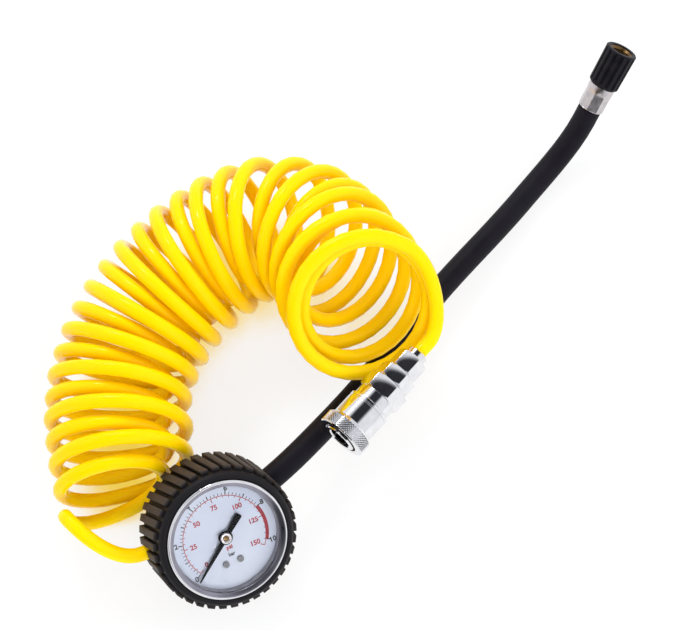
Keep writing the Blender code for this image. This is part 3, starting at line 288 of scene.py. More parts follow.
looks = {
    "hoseRubber": {"dark": (0.0060, 0.0052, 0.0085), "light": (0.0095, 0.0085, 0.0125), "rough": (0.50, 0.62),
                   "cloud": 80, "grain": 2200, "bump": 0.18, "sockets": {"Specular IOR Level": 0.11}},
    "sealRubber": {"dark": (0.012, 0.012, 0.012), "light": (0.022, 0.022, 0.022), "rough": (0.6, 0.75),
                   "cloud": 150, "grain": 2500, "bump": 0.2},
    "chrome": {"dark": (0.74, 0.74, 0.76), "light": (0.84, 0.84, 0.86), "rough": (0.05, 0.11),
               "cloud": 220, "grain": 900, "bump": 0.02, "sockets": {"Metallic": 1.0}},
    "knurledChrome": {"dark": (0.66, 0.66, 0.68), "light": (0.82, 0.82, 0.84), "rough": (0.12, 0.22),
                      "cloud": 300, "grain": 1500, "bump": 0.05, "sockets": {"Metallic": 1.0}},
    "screwSteel": {"dark": (0.16, 0.16, 0.17), "light": (0.26, 0.26, 0.27), "rough": (0.45, 0.60),
                   "cloud": 700, "grain": 1800, "bump": 0.10, "sockets": {"Metallic": 1.0}},
    "crimpedSteel": {"dark": (0.50, 0.47, 0.48), "light": (0.66, 0.62, 0.63), "rough": (0.28, 0.40),
                     "cloud": 420, "grain": 1500, "bump": 0.08, "sockets": {"Metallic": 1.0}},
    "steel": {"dark": (0.48, 0.48, 0.49), "light": (0.60, 0.60, 0.61), "rough": (0.24, 0.38),
              "cloud": 260, "grain": 1800, "bump": 0.06, "sockets": {"Metallic": 1.0}},
    "brass": {"dark": (0.55, 0.36, 0.13), "light": (0.72, 0.52, 0.22), "rough": (0.20, 0.34),
              "cloud": 240, "grain": 1600, "bump": 0.06, "sockets": {"Metallic": 1.0}},
    # brass far below its own brightness: on the chuck's insert this is painted shade deep in the mouth, on the
    # pointer's button dull brass
    "dullAndShadedBrass": {"dark": (0.12, 0.070, 0.028), "light": (0.24, 0.145, 0.058), "rough": (0.32, 0.48),
                  "cloud": 320, "grain": 1600, "bump": 0.10, "sockets": {"Metallic": 1.0}},
    "chuckPlastic": {"dark": (0.0065, 0.0060, 0.0090), "light": (0.0110, 0.0100, 0.0135), "rough": (0.38, 0.50),
                     "cloud": 180, "grain": 2400, "bump": 0.12, "sockets": {"Specular IOR Level": 0.13}},
    "dialEnamel": {"dark": (0.77, 0.82, 0.95), "light": (0.83, 0.88, 0.99), "rough": (0.35, 0.45),
                   "cloud": 40, "grain": 900, "bump": 0.02},
    "dialWall": {"dark": (0.32, 0.31, 0.35), "light": (0.42, 0.41, 0.46), "rough": (0.32, 0.42),
                 "cloud": 60, "grain": 900, "bump": 0.03},
    "satinMetal": {"dark": (0.26, 0.25, 0.30), "light": (0.36, 0.35, 0.41), "rough": (0.26, 0.36),
                   "cloud": 120, "grain": 1400, "bump": 0.03, "sockets": {"Metallic": 1.0}},
    "blackInk": {"dark": (0.012, 0.014, 0.020), "light": (0.022, 0.024, 0.032), "rough": (0.45, 0.55),
                 "cloud": 300},
    "redInk": {"dark": (0.42, 0.016, 0.030), "light": (0.52, 0.028, 0.044), "rough": (0.45, 0.55),
               "cloud": 300},
    "pointerPaint": {"dark": (0.003, 0.003, 0.005), "light": (0.006, 0.006, 0.008), "rough": (0.45, 0.60),
                     "cloud": 200, "grain": 2000, "bump": 0.05, "sockets": {"Specular IOR Level": 0.05}},
    "lensGlass": {"dark": (0.97, 0.98, 1.0), "light": (1.0, 1.0, 1.0), "rough": (0.01, 0.03), "cloud": 30,
                  "sockets": {"Transmission Weight": 1.0, "IOR": 1.2}},
}
paints = {name: finish(name, look) for name, look in looks.items()}


# clear yellow tube: painted light and shade make each curl orange on its outer side and lemon on its inner side
yellowTube = {"tones": [(0.0, (1.0, 0.61, 0.0)), (0.5, (1.0, 0.64, 0.0005)), (1.0, (1.0, 0.67, 0.002))],
              "rough": (0.14, 0.22), "cloud": 45, "subsurface": 0.5, "radius": (1.0, 0.8, 0.05), "scale": 0.006}
# rubber of the boot: near black in the ring and the grooves, dark brown on the lug crowns; the darkening down into the
# grooves is painted shade
bootRubber = {"tones": [(0.0, (0.009, 0.008, 0.010)), (0.55, (0.014, 0.012, 0.012)), (1.0, (0.046, 0.037, 0.034))],
              "rough": (0.48, 0.64), "cloud": 60, "grain": 1500, "bump": 0.3}


def tonedFinish(name, look, attribute, sockets):
    # colour by a value kept on the mesh, which carries painted light and shade on the tube and on the boot, broken up
    # by the finish's own soft noise
    first, last = look["tones"][0][1], look["tones"][-1][1]
    made = finish(name, {"dark": first, "light": last, "rough": look["rough"], "cloud": look["cloud"],
                         "grain": look.get("grain", 700), "bump": look.get("bump", 0.03), "sockets": sockets})
    tree = made.node_tree
    shader = tree.nodes["Principled BSDF"]
    kept = tree.nodes.new("ShaderNodeAttribute")
    kept.attribute_name = attribute
    cloud = next(node for node in tree.nodes if node.type == 'TEX_NOISE')
    shift = tree.nodes.new("ShaderNodeMath")
    shift.operation = 'MULTIPLY_ADD'
    shift.inputs[1].default_value = 0.24
    tree.links.new(cloud.outputs[0], shift.inputs[0])
    tree.links.new(kept.outputs["Fac"], shift.inputs[2])
    level = tree.nodes.new("ShaderNodeMath")
    level.operation = 'SUBTRACT'
    level.inputs[1].default_value = 0.12
    tree.links.new(shift.outputs[0], level.inputs[0])
    ramp = tree.nodes.new("ShaderNodeValToRGB")
    stops = ramp.color_ramp.elements
    for position, colour in look["tones"][1:-1]:
        stops.new(position).color = (*colour, 1)
    stops[0].color = (*first, 1)
    stops[-1].color = (*last, 1)
    tree.links.new(level.outputs[0], ramp.inputs[0])
    tree.links.new(ramp.outputs[0], shader.inputs["Base Color"])
    return made


# the inward value lays the painted light and shade on the curls
paints["yellowTube"] = tonedFinish("yellowTube", yellowTube, "inward", {
    "Subsurface Weight": yellowTube["subsurface"], "Subsurface Radius": yellowTube["radius"],
    "Subsurface Scale": yellowTube["scale"], "Coat Weight": 0.12, "Coat Roughness": 0.08,
    "Specular IOR Level": 0.07})
paints["bootRubber"] = tonedFinish("bootRubber", bootRubber, "crown", {"Specular IOR Level": 0.18})
print("finishes made:", len(paints))


# ---- small tools for the pieces
def meshObject(name, build, paint, at=None, smoothAngle=38):
    mesh = bpy.data.meshes.new(name)
    build.to_mesh(mesh)
    build.free()
    if at is not None:
        mesh.transform(at)
    mesh.shade_smooth()
    mesh.set_sharp_from_angle(angle=math.radians(smoothAngle))
    mesh.materials.append(paint)
    made = bpy.data.objects.new(name, mesh)
    bpy.context.scene.collection.objects.link(made)
    return made


def placed(made, body, slot, *stands):
    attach(made, body)
    if stands:
        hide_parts(*stands)
    return made


def turned(profile, steps, closed=True):
    # spins (radius, height) points in mm round the local Z axis
    build = bmesh.new()
    points = [build.verts.new((radius * mm, 0, height * mm)) for radius, height in profile]
    for first, second in zip(points, points[1:]):
        build.edges.new((first, second))
    if closed:
        build.edges.new((points[-1], points[0]))
    bmesh.ops.spin(build, geom=build.verts[:] + build.edges[:], cent=(0, 0, 0), axis=(0, 0, 1),
                   angle=turn, steps=steps, use_merge=True, use_duplicate=False)
    bmesh.ops.remove_doubles(build, verts=build.verts, dist=0.000002)
    bmesh.ops.recalc_face_normals(build, faces=build.faces)
    return build


def softened(build, width, segments=2, angle=25):
    # bevels the edges that are sharper than the angle
    sharp = [edge for edge in build.edges
             if len(edge.link_faces) == 2 and edge.calc_face_angle() > math.radians(angle)]
    bmesh.ops.bevel(build, geom=sharp, offset=width * mm, offset_type='OFFSET', segments=segments, profile=0.5,
                    affect='EDGES', clamp_overlap=True, material=-1)
    return build


def bar(build, size, at):
    # a box of the given size in mm, set by a matrix
    shape = Matrix.Diagonal((size[0] * mm, size[1] * mm, size[2] * mm, 1))
    return bmesh.ops.create_cube(build, size=1, matrix=at @ shape)["verts"]


def added(build, other):
    # joins a finished bmesh into another
    mesh = bpy.data.meshes.new("joining")
    other.to_mesh(mesh)
    other.free()
    build.from_mesh(mesh)
    bpy.data.meshes.remove(mesh)


def splineThrough(knots, values, at):
    # natural cubic spline, as the part's source has it
    count = len(knots)
    span = np.diff(knots)
    system = np.eye(count)
    right = np.zeros_like(values)
    for i in range(1, count - 1):
        system[i, i - 1:i + 2] = span[i - 1], 2 * (span[i - 1] + span[i]), span[i]
        right[i] = 6 * ((values[i + 1] - values[i]) / span[i] - (values[i] - values[i - 1]) / span[i - 1])
    bend = np.linalg.solve(system, right)
    part = np.clip(np.searchsorted(knots, at, side='right') - 1, 0, count - 2)
    width = span[part][:, None]
    ahead = (knots[part + 1] - at)[:, None] / width
    behind = 1 - ahead
    swell = (ahead ** 3 - ahead) * bend[part] + (behind ** 3 - behind) * bend[part + 1]
    return ahead * values[part] + behind * values[part + 1] + swell * width ** 2 / 6


def runLength(points):
    return np.concatenate([[0], np.cumsum(np.linalg.norm(np.diff(points, axis=0), axis=1))])


def unit(rows):
    return rows / np.linalg.norm(rows, axis=-1, keepdims=True)


def easyBend(start, leave, end, arrive, count):
    s = np.linspace(0, 1, count + 2)[1:-1, None]
    return ((2 * s ** 3 - 3 * s ** 2 + 1) * start + (s ** 3 - 2 * s ** 2 + s) * leave
            + (3 * s ** 2 - 2 * s ** 3) * end + (s ** 3 - s ** 2) * arrive)


def tubeMesh(name, points, diameter, sides, paint):
    curve = bpy.data.curves.new(name, 'CURVE')
    curve.dimensions = '3D'
    curve.bevel_depth = diameter / 2
    curve.bevel_resolution = (sides - 4) // 2
    curve.use_fill_caps = True
    spline = curve.splines.new('POLY')
    spline.points.add(len(points) - 1)
    spline.points.foreach_set("co", np.column_stack([points, np.ones(len(points))]).ravel())
    guide = bpy.data.objects.new(name + "Guide", curve)
    bpy.context.scene.collection.objects.link(guide)
    ready = guide.evaluated_get(bpy.context.evaluated_depsgraph_get())
    mesh = bpy.data.meshes.new_from_object(ready)
    build = bmesh.new()
    build.from_mesh(mesh)
    bpy.data.objects.remove(guide)
    bpy.data.meshes.remove(mesh)
    bmesh.ops.remove_doubles(build, verts=build.verts, dist=0.000001)
    bmesh.ops.recalc_face_normals(build, faces=build.faces)
    return meshObject(name, build, paint, smoothAngle=50)


# ---- the two hoses
gaugeSizes = {"arms": 9.3, "fitting": 29.0, "boot": 35.5, "inletAngle": 177.7, "outletAngle": 18.5}


def hoseLeaves(degrees, reach):
    angle = math.radians(degrees)
    way = gaugeAt.to_3x3() @ Vector((math.cos(angle), math.sin(angle), 0))
    return np.array(gaugeAt @ Vector((0, 0, gaugeSizes["arms"] * mm)) + reach * mm * way), np.array(way)


coilHose = {
    "tube": 6.7, "swell": 0.5, "curls": 26, "perCurl": 30, "pitch": 9.0, "innerPitch": 4.8, "stagger": 4.8,
    "sides": 20,
    "leadIn": (58, 80, 20), "leadOut": (50, 40, 14), "lastStep": 1 / 9, "lift": 0.25,
    "carries": ["couplerNut", "couplerAdapter", "couplerBody", "couplerSleeve", "sleeveSpring", "poppetSpring"],
    "carriesNodes": ["lock_ball_1", "lock_ball_2", "lock_ball_3", "lock_ball_4", "retaining_ring",
                     "valve_poppet", "mouth_seal"],
    # centre of the winding in mm, heading and lean of its axis in degrees, radius of the curl in mm
    "stations": [
        (-46.1, -19.7, 31.0, 153.5, -5.1, 26.5),
        (-59.7, -6.2, 34.0, 139.7, -5.1, 29.5),
        (-79.9, 13.4, 34.6, 128.7, -1.1, 30.0),
        (-94.7, 40.7, 34.5, 110.8, 7.2, 30.0),
        (-101.1, 75.6, 33.8, 86.7, 14.5, 30.0),
        (-96.8, 110.2, 34.0, 61.4, 19.2, 30.0),
        (-84.0, 133.0, 36.5, 36.0, 22.5, 30.0),
        (-65.1, 141.4, 40.2, 10.8, 26.1, 30.5),
        (-44.1, 137.7, 45.1, -6.0, 32.7, 31.5),
        (-22.7, 128.0, 52.5, -17.4, 46.1, 33.5),
        (-11.4, 123.8, 59.2, -21.1, 50.8, 33.5),
    ],
}
couplerLength = 57.8
fitGap = 0.3


def coilRoute():
    stations = np.array(coilHose["stations"])
    stations[:, [0, 1, 2, 5]] *= mm
    stations[:, 3:5] = np.radians(stations[:, 3:5])
    knots = runLength(stations[:, :3])
    rows = splineThrough(knots, stations, np.linspace(0, knots[-1], 4000))
    centre, heading, lean, radius = rows[:, :3], rows[:, 3], rows[:, 4], rows[:, 5]
    axis = np.stack([np.cos(heading) * np.cos(lean), np.sin(heading) * np.cos(lean), np.sin(lean)], axis=1)
    ahead = (np.diff(centre, axis=0) * (axis[1:] + axis[:-1]) / 2).sum(axis=1)
    closing = radius[1:] * np.linalg.norm(np.diff(axis, axis=0), axis=1)
    inner = np.maximum(ahead - closing, 0.01 * ahead)
    turns = np.cumsum(np.minimum(inner / coilHose["innerPitch"], ahead / coilHose["pitch"]))
    turns = coilHose["curls"] * np.concatenate([[0], turns]) / turns[-1]
    steps = np.linspace(0, coilHose["curls"] - coilHose["lastStep"], coilHose["curls"] * coilHose["perCurl"])
    middle = np.stack([np.interp(steps, turns, centre[:, k]) for k in range(3)], axis=1)
    way = unit(np.stack([np.interp(steps, turns, axis[:, k]) for k in range(3)], axis=1))
    side = unit(np.cross((0, 0, 1), way))
    up = np.cross(way, side)
    angle = -turn * steps
    bend = np.gradient(way, axis=0)
    innerAngle = np.unwrap(np.arctan2((bend * up).sum(axis=1), (bend * side).sum(axis=1)))
    inside = (1 + np.cos(angle - innerAngle)) / 2
    stepIn = coilHose["stagger"] * mm * inside * np.cos(math.pi * steps + innerAngle / 2)
    reach = np.interp(steps, turns, radius) - stepIn
    out = np.cos(angle)[:, None] * side + np.sin(angle)[:, None] * up
    curls = middle + reach[:, None] * out
    start, leave = hoseLeaves(gaugeSizes["inletAngle"], gaugeSizes["fitting"] + fitGap)
    wall, leave = hoseLeaves(gaugeSizes["inletAngle"], gaugeSizes["boot"] + coilHose["tube"] / 4)
    tail = np.array(couplerAt @ Vector((0, 0, -(couplerLength + fitGap) * mm)))
    square = tail + np.array((0, coilHose["tube"] * mm, 0))
    leaveIn, arriveIn, countIn = coilHose["leadIn"]
    leaveOut, arriveOut, countOut = coilHose["leadOut"]
    firstWay = unit(curls[1] - curls[0])
    lastWay = unit(curls[-1] - curls[-2])
    leadIn = easyBend(wall, leaveIn * mm * leave, curls[0], arriveIn * mm * firstWay, countIn)
    leadOut = easyBend(curls[-1], leaveOut * mm * lastWay, square, arriveOut * mm * np.array((0, -1, 0)), countOut)
    points = np.concatenate([[start], [wall], leadIn, curls, leadOut, [square], [tail]])
    # the way into each curl, from which the tube's painted light and shade are laid on
    inward = np.zeros_like(points)
    inward[2 + countIn:2 + countIn + len(curls)] = -out
    # the lowest curls settle on the floor
    low = ((coilHose["tube"] + coilHose["swell"]) / 2 + coilHose["lift"]) * mm
    soft = 0.0012
    points[:, 2] = low + soft * np.logaddexp(0, (points[:, 2] - low) / soft)
    return points, inward, wall


def makeCoil():
    points, inward, wall = coilRoute()
    thick = (coilHose["tube"] + coilHose["swell"]) * mm
    made = tubeMesh("curlyHose", points, thick, coilHose["sides"], paints["yellowTube"])
    tree = kdtree.KDTree(len(points))
    for index, point in enumerate(points):
        tree.insert(point, index)
    tree.balance()
    # how far each point of the tube faces into its curl: lemon painted light inside, orange painted shade outside
    shade = np.empty(len(made.data.vertices), np.float32)
    for vertex in made.data.vertices:
        place, index, gap = tree.find(vertex.co)
        away = np.array(vertex.co) - points[index]
        shade[vertex.index] = 0.5 + float(away @ inward[index]) / thick
    made.data.attributes.new("inward", 'FLOAT', 'POINT').data.foreach_set("value", shade)
    placed(made, "gauge", "yellow_tube", "coil_hose")


whipHose = {
    "tube": 12.0, "points": 40, "sides": 32, "lift": 0.05,
    "carries": ["crimpFerrule", "chuckGrip", "chuckThread"],
    "carriesNodes": ["chuck_stem", "chuck_seal", "chuck_pin"],
    "route": [(2.5, 70.4, 26.0), (0.2, 110.1, 17.2), (-2.5, 136.7, 15.0), (-5.3, 173.9, 12.0),
              (-6.1, 215.9, 8.4), (-7.6, 250.0, 6.4)],
}
chuckSizes = {"length": 20.0, "ferrule": 14.0}


def makeWhip():
    start, leave = hoseLeaves(gaugeSizes["outletAngle"], gaugeSizes["fitting"] + fitGap)
    wall, leave = hoseLeaves(gaugeSizes["outletAngle"], gaugeSizes["boot"] + whipHose["tube"] / 3)
    aim = np.array(chuckAt.to_3x3() @ Vector((0, 0, 1)))
    end = np.array(chuckAt.translation) - (chuckSizes["length"] + chuckSizes["ferrule"] + 3 * fitGap) * mm * aim
    straight = end - whipHose["tube"] * mm * aim
    route = np.concatenate([[start], [wall], np.array(whipHose["route"]) * mm, [straight], [end]])
    knots = runLength(route)
    points = splineThrough(knots, route, np.linspace(0, knots[-1], whipHose["points"]))
    points[:, 2] = np.maximum(points[:, 2], (whipHose["tube"] / 2 + whipHose["lift"]) * mm)
    made = tubeMesh("whipHose", points, whipHose["tube"] * mm, whipHose["sides"], paints["hoseRubber"])
    placed(made, "gauge", "hose_rubber", "whip_hose")


# ---- rubber boot with its slanted lugs
boot = {
    "bore": 29.8, "root": 33.2, "outer": 35.5, "depth": 32.0, "back": 3.0, "window": 14.0, "chamfer": 3.0,
    "lip": 4.0, "lugs": 38, "lugLow": 3.3, "lugShare": 0.72, "crownShare": 0.86, "slant": -6.0, "steps": 126,
    "edge": 0.45, "lugEdge": 0.16,
}


def lugBlock():
    # one lug, lofted from its foot to its crown and twisted along the boot
    low, high = boot["lugLow"], boot["depth"] - boot["lip"]
    pitch = 360 / boot["lugs"]
    half = math.radians(pitch * boot["lugShare"] / 2)
    build = bmesh.new()
    bmesh.ops.create_cube(build, size=2)
    bmesh.ops.subdivide_edges(build, edges=[e for e in build.edges
                                            if abs(e.verts[0].co.z - e.verts[1].co.z) > 1], cuts=3)
    for vertex in build.verts:
        across, out, along = vertex.co
        height = low + (high - low) * (along + 1) / 2
        radius = boot["outer"] if out > 0 else boot["root"] - 0.6
        narrow = boot["crownShare"] if out > 0 else 1.0
        angle = across * half * narrow + math.radians(boot["slant"]) * (along + 1) / 2
        vertex.co = (radius * mm * math.cos(angle), radius * mm * math.sin(angle), height * mm)
    bmesh.ops.recalc_face_normals(build, faces=build.faces)
    return softened(build, boot["lugEdge"], 2, 40)


def makeBoot():
    core = [(boot["root"], boot["depth"] - boot["chamfer"] / 2), (boot["root"], boot["chamfer"]),
            (boot["root"] - boot["chamfer"], 0), (boot["window"], 0), (boot["window"], boot["back"]),
            (boot["bore"], boot["back"]), (boot["bore"], boot["depth"]),
            (boot["root"] - boot["chamfer"] / 2, boot["depth"])]
    build = softened(turned(core, boot["steps"]), boot["edge"], 3)
    lug = lugBlock()
    bmesh.ops.spin(lug, geom=lug.verts[:] + lug.edges[:] + lug.faces[:], cent=(0, 0, 0), axis=(0, 0, 1),
                   angle=turn * (boot["lugs"] - 1) / boot["lugs"], steps=boot["lugs"] - 1, use_merge=False,
                   use_duplicate=True)
    added(build, lug)
    # how proud of the core each point stands: the lower it lies, the more painted groove shade it gets
    crown = []
    for vertex in build.verts:
        proud = (vertex.co.xy.length / mm - boot["root"]) / (boot["outer"] - boot["root"])
        crown.append(min(1.0, max(0.0, proud)))
    made = meshObject("rubberBoot", build, paints["bootRubber"], gaugeAt, 40)
    made.data.attributes.new("crown", 'FLOAT', 'POINT').data.foreach_set("value", crown)
    placed(made, "gauge", "boot_rubber", "boot")
    print("boot with", boot["lugs"], "lugs")


# ---- gauge face
bezel = {"outer": 29.5, "inside": 28.7, "sight": 26.4, "front": 33.0, "skirt": 28.4, "lip": 1.2, "steps": 128,
         "edge": 0.42}


def makeBezel():
    front, lip = bezel["front"], bezel["lip"]
    profile = [(bezel["outer"] - 0.55, front), (bezel["outer"], front - 0.6), (bezel["outer"], bezel["skirt"]),
               (bezel["inside"], bezel["skirt"]), (bezel["inside"], front - lip - 0.2),
               (bezel["sight"] + 0.4, front - lip - 0.2), (bezel["sight"] + 0.4, front - lip),
               (bezel["outer"] - 1.15, front - 0.12)]
    build = softened(turned(profile, bezel["steps"]), bezel["edge"], 3, 20)
    placed(meshObject("bezelRing", build, paints["chrome"], gaugeAt), "gauge", "chrome", "bezel")
    slope = [(bezel["outer"] - 1.25, front - 0.14), (bezel["outer"] - 1.25, front - 0.5),
             (bezel["sight"] + 0.1, front - lip - 0.2), (bezel["sight"] - 0.1, front - lip - 0.2),
             (bezel["sight"] - 0.1, front - lip - 0.05)]
    build = softened(turned(slope, bezel["steps"]), 0.08, 2, 20)
    placed(meshObject("bezelSlope", build, paints["satinMetal"], gaugeAt), "gauge", "chrome")
    wall = [(26.25, 29.7), (27.3, 29.7), (27.3, 26.95), (25.6, 26.95)]
    made = meshObject("dialWall", turned(wall, bezel["steps"]), paints["dialWall"], gaugeAt)
    placed(made, "gauge", "seal_rubber", "lens_gasket")


dial = {
    "top": 26.8, "ink": 0.04, "zero": 235.0, "perBar": 24.3, "up": 108.0, "barsPerPsi": 0.0689476,
    "ticks": 20.9, "fine": 1.15, "middle": 1.7, "long": 2.1, "fineWide": 0.30, "longWide": 0.50,
    "numbers": 24.1, "numberSize": 3.5, "redTicks": 20.6, "redFine": 1.0, "redLong": 2.1, "redNumbers": 15.7,
    "redNumberSize": 3.4, "redLine": (20.4, 20.75), "band": (20.2, 21.9), "bandFrom": 8.0, "bandTo": 10.0,
    "bold": 0.11,
    "words": [("psi", "redInk", (0.6, -5.6), 2.8), ("bar", "blackInk", (0.6, -9.3), 2.5)],
}


def dialAngle(bars):
    # from the photo's angle to the dial's own, whose Y axis is up
    return math.radians(dial["zero"] - dial["perBar"] * bars - dial["up"] + 90)


def dialPoint(angle, radius, height=0.0):
    return Vector((radius * math.cos(angle), radius * math.sin(angle), dial["top"] + height)) * mm


def printedTick(build, angle, start, length, width):
    middle = Matrix.Translation(dialPoint(angle, start + length / 2, dial["ink"] / 2))
    bar(build, (length, width, dial["ink"]), middle @ Matrix.Rotation(angle, 4, 'Z'))


def printedArc(build, inner, outer, first, last, steps):
    # a radial edge swept round the dial, then given the ink's thickness
    arc = bmesh.new()
    ends = [arc.verts.new(dialPoint(first, radius)) for radius in (inner, outer)]
    arc.edges.new(ends)
    bmesh.ops.spin(arc, geom=arc.verts[:] + arc.edges[:], cent=(0, 0, 0), axis=(0, 0, 1), angle=last - first,
                   steps=steps, use_merge=False, use_duplicate=False)
    bmesh.ops.recalc_face_normals(arc, faces=arc.faces)
    if arc.faces[:][0].normal.z < 0:
        bmesh.ops.reverse_faces(arc, faces=arc.faces)
    bmesh.ops.solidify(arc, geom=arc.faces[:], thickness=-dial["ink"] * mm)
    added(build, arc)


def printedWords(build, text, middle, size):
    curve = bpy.data.curves.new("print", 'FONT')
    curve.body = text
    curve.size = size * mm
    curve.align_x = 'CENTER'
    curve.align_y = 'CENTER'
    curve.extrude = dial["ink"] * mm / 2
    curve.offset = dial["bold"] * mm
    curve.resolution_u = 4
    made = bpy.data.objects.new("print", curve)
    bpy.context.scene.collection.objects.link(made)
    mesh = bpy.data.meshes.new_from_object(made.evaluated_get(bpy.context.evaluated_depsgraph_get()))
    mesh.transform(Matrix.Translation((middle[0] * mm, middle[1] * mm, (dial["top"] + dial["ink"] / 2) * mm)))
    build.from_mesh(mesh)
    bpy.data.objects.remove(made)
    bpy.data.meshes.remove(mesh)


def makeDialPrint():
    black, red = bmesh.new(), bmesh.new()
    for step in range(51):
        bars = step / 5
        kind = "long" if step % 10 == 0 else "middle" if step % 5 == 0 else "fine"
        width = dial["fineWide"] if kind == "fine" else dial["longWide"]
        if bars < dial["bandFrom"] or kind == "long":
            printedTick(black, dialAngle(bars), dial["ticks"], dial[kind], width)
    for bars in range(0, 11, 2):
        angle = dialAngle(bars)
        middle = (dial["numbers"] * math.cos(angle), dial["numbers"] * math.sin(angle))
        printedWords(black, str(bars), middle, dial["numberSize"])
    for psi in range(0, 151, 5):
        angle = dialAngle(psi * dial["barsPerPsi"])
        long = psi % 25 == 0
        length = dial["redLong"] if long else dial["redFine"]
        printedTick(red, angle, dial["redTicks"] - length, length, dial["fineWide"] * (1.4 if long else 1))
        if long:
            middle = (dial["redNumbers"] * math.cos(angle), dial["redNumbers"] * math.sin(angle))
            printedWords(red, str(psi), middle, dial["redNumberSize"])
    printedArc(red, *dial["redLine"], dialAngle(0), dialAngle(150 * dial["barsPerPsi"]), 90)
    printedArc(red, *dial["band"], dialAngle(dial["bandFrom"]), dialAngle(dial["bandTo"]), 30)
    for text, ink, middle, size in dial["words"]:
        printedWords(red if ink == "redInk" else black, text, middle, size)
    for build, ink, name in ((black, "blackInk", "dialPrintBlack"), (red, "redInk", "dialPrintRed")):
        bmesh.ops.remove_doubles(build, verts=build.verts, dist=0.0000005)
        placed(meshObject(name, build, paints[ink], gaugeAt, 30), "gauge", "dial")
    print("dial printed")


pointer = {"low": 28.0, "thick": 0.5, "reach": 24.6, "tail": 13.0, "rest": 131.0, "tip": 0.32, "boss": 3.5,
           "tailEnd": 1.75, "hubLow": 28.55, "hubHigh": 29.6, "hub": 2.75}


def makePointer():
    boss = [(pointer["boss"] * math.cos(angle), pointer["boss"] * math.sin(angle))
            for angle in np.linspace(-1.22, 1.22, 13)]
    right = [(pointer["tailEnd"], -pointer["tail"] + 0.6), *boss, (pointer["tip"], pointer["reach"])]
    left = [(-x, y) for x, y in reversed(right)]
    build = bmesh.new()
    edge = [build.verts.new((x * mm, y * mm, pointer["low"] * mm))
            for x, y in [*right, *left, (-pointer["tailEnd"] + 0.6, -pointer["tail"]),
                         (pointer["tailEnd"] - 0.6, -pointer["tail"])]]
    face = build.faces.new(edge)
    grown = bmesh.ops.extrude_face_region(build, geom=[face])["geom"]
    bmesh.ops.translate(build, verts=[v for v in grown if isinstance(v, bmesh.types.BMVert)],
                        vec=(0, 0, pointer["thick"] * mm))
    bmesh.ops.recalc_face_normals(build, faces=build.faces)
    softened(build, 0.08, 2, 40)
    spin = gaugeAt @ Matrix.Rotation(math.radians(pointer["rest"]), 4, 'Z')
    placed(meshObject("pointerBlade", build, paints["pointerPaint"], spin), "pointer", "black_plastic", "pointer")
    low, high, hub = pointer["hubLow"], pointer["hubHigh"], pointer["hub"]
    rim = turned([(hub, low), (hub, high - 0.3), (hub - 0.3, high), (hub - 0.75, high), (hub - 0.95, high - 0.5),
                  (1.0, high - 0.5), (1.0, low)], 48)
    placed(meshObject("pointerHub", rim, paints["crimpedSteel"], gaugeAt, 30), "pointer", "brass", "pointer_hub")
    button = turned([(0, high - 0.05), (0.9, high - 0.12), (1.5, high - 0.32), (1.5, high - 0.55), (0, high - 0.55)],
                    32, closed=False)
    placed(meshObject("pointerButton", button, paints["dullAndShadedBrass"], gaugeAt, 30), "pointer", "brass")
    print("pointer made")


dialScrews = {"reach": 13.6, "spread": 16.0, "radius": 1.6, "low": 27.1, "high": 27.7, "slot": 0.18, "cut": 0.25,
              "turns": (25, -40)}


def makeDialScrews():
    for number, side in enumerate((-1, 1)):
        build = bmesh.new()
        bmesh.ops.create_cone(build, cap_ends=True, segments=32, radius1=dialScrews["radius"] * mm,
                              radius2=dialScrews["radius"] * mm,
                              depth=(dialScrews["high"] - dialScrews["low"]) * mm)
        for edge in (-dialScrews["slot"], dialScrews["slot"]):
            bmesh.ops.bisect_plane(build, geom=build.verts[:] + build.edges[:] + build.faces[:],
                                   plane_co=(edge * mm, 0, 0), plane_no=(1, 0, 0), dist=0.0000001)
        floorFace = [f for f in build.faces if f.normal.z > 0.9 and abs(f.calc_center_median().x) < 0.1 * mm]
        sunk = bmesh.ops.extrude_face_region(build, geom=floorFace)["geom"]
        bmesh.ops.delete(build, geom=floorFace, context='FACES_KEEP_BOUNDARY')
        bmesh.ops.translate(build, verts=[v for v in sunk if isinstance(v, bmesh.types.BMVert)],
                            vec=(0, 0, -dialScrews["cut"] * mm))
        bmesh.ops.recalc_face_normals(build, faces=build.faces)
        angle = math.radians(-90 + side * dialScrews["spread"])
        middle = (dialScrews["low"] + dialScrews["high"]) / 2
        place = Vector((dialScrews["reach"] * math.cos(angle), dialScrews["reach"] * math.sin(angle), middle)) * mm
        at = gaugeAt @ Matrix.Translation(place)
        at = at @ Matrix.Rotation(math.radians(dialScrews["turns"][number]), 4, 'Z')
        made = meshObject(f"dialScrewHead{number + 1}", build, paints["screwSteel"], at, 30)
        placed(made, "gauge", "steel", f"dial_screw_{number + 1}")


# ---- coupler: local +Z leaves through its mouth
coupler = {
    "bodyHex": (20.0, 27.3, 36.3), "adapterHex": (17.0, 36.6, 44.2), "nutHex": (14.0, 44.5, 54.2),
    "tail": (5.3, 57.8), "guide": 9.9, "barrel": 8.2, "bore": 5.6, "chamber": 6.4, "boreDepth": 16.0,
    "guideFront": 20.0, "airWay": 2.5, "chamfer": 30.0, "edge": 0.22,
}
sleeve = {
    "start": 0.8, "back": 22.0, "radius": 11.0, "knurl": 12.8, "knurlEnd": 7.2, "skirt": 10.2, "relief": 9.4,
    "around": 52, "rows": 4, "fine": 8, "depth": 0.75,
}


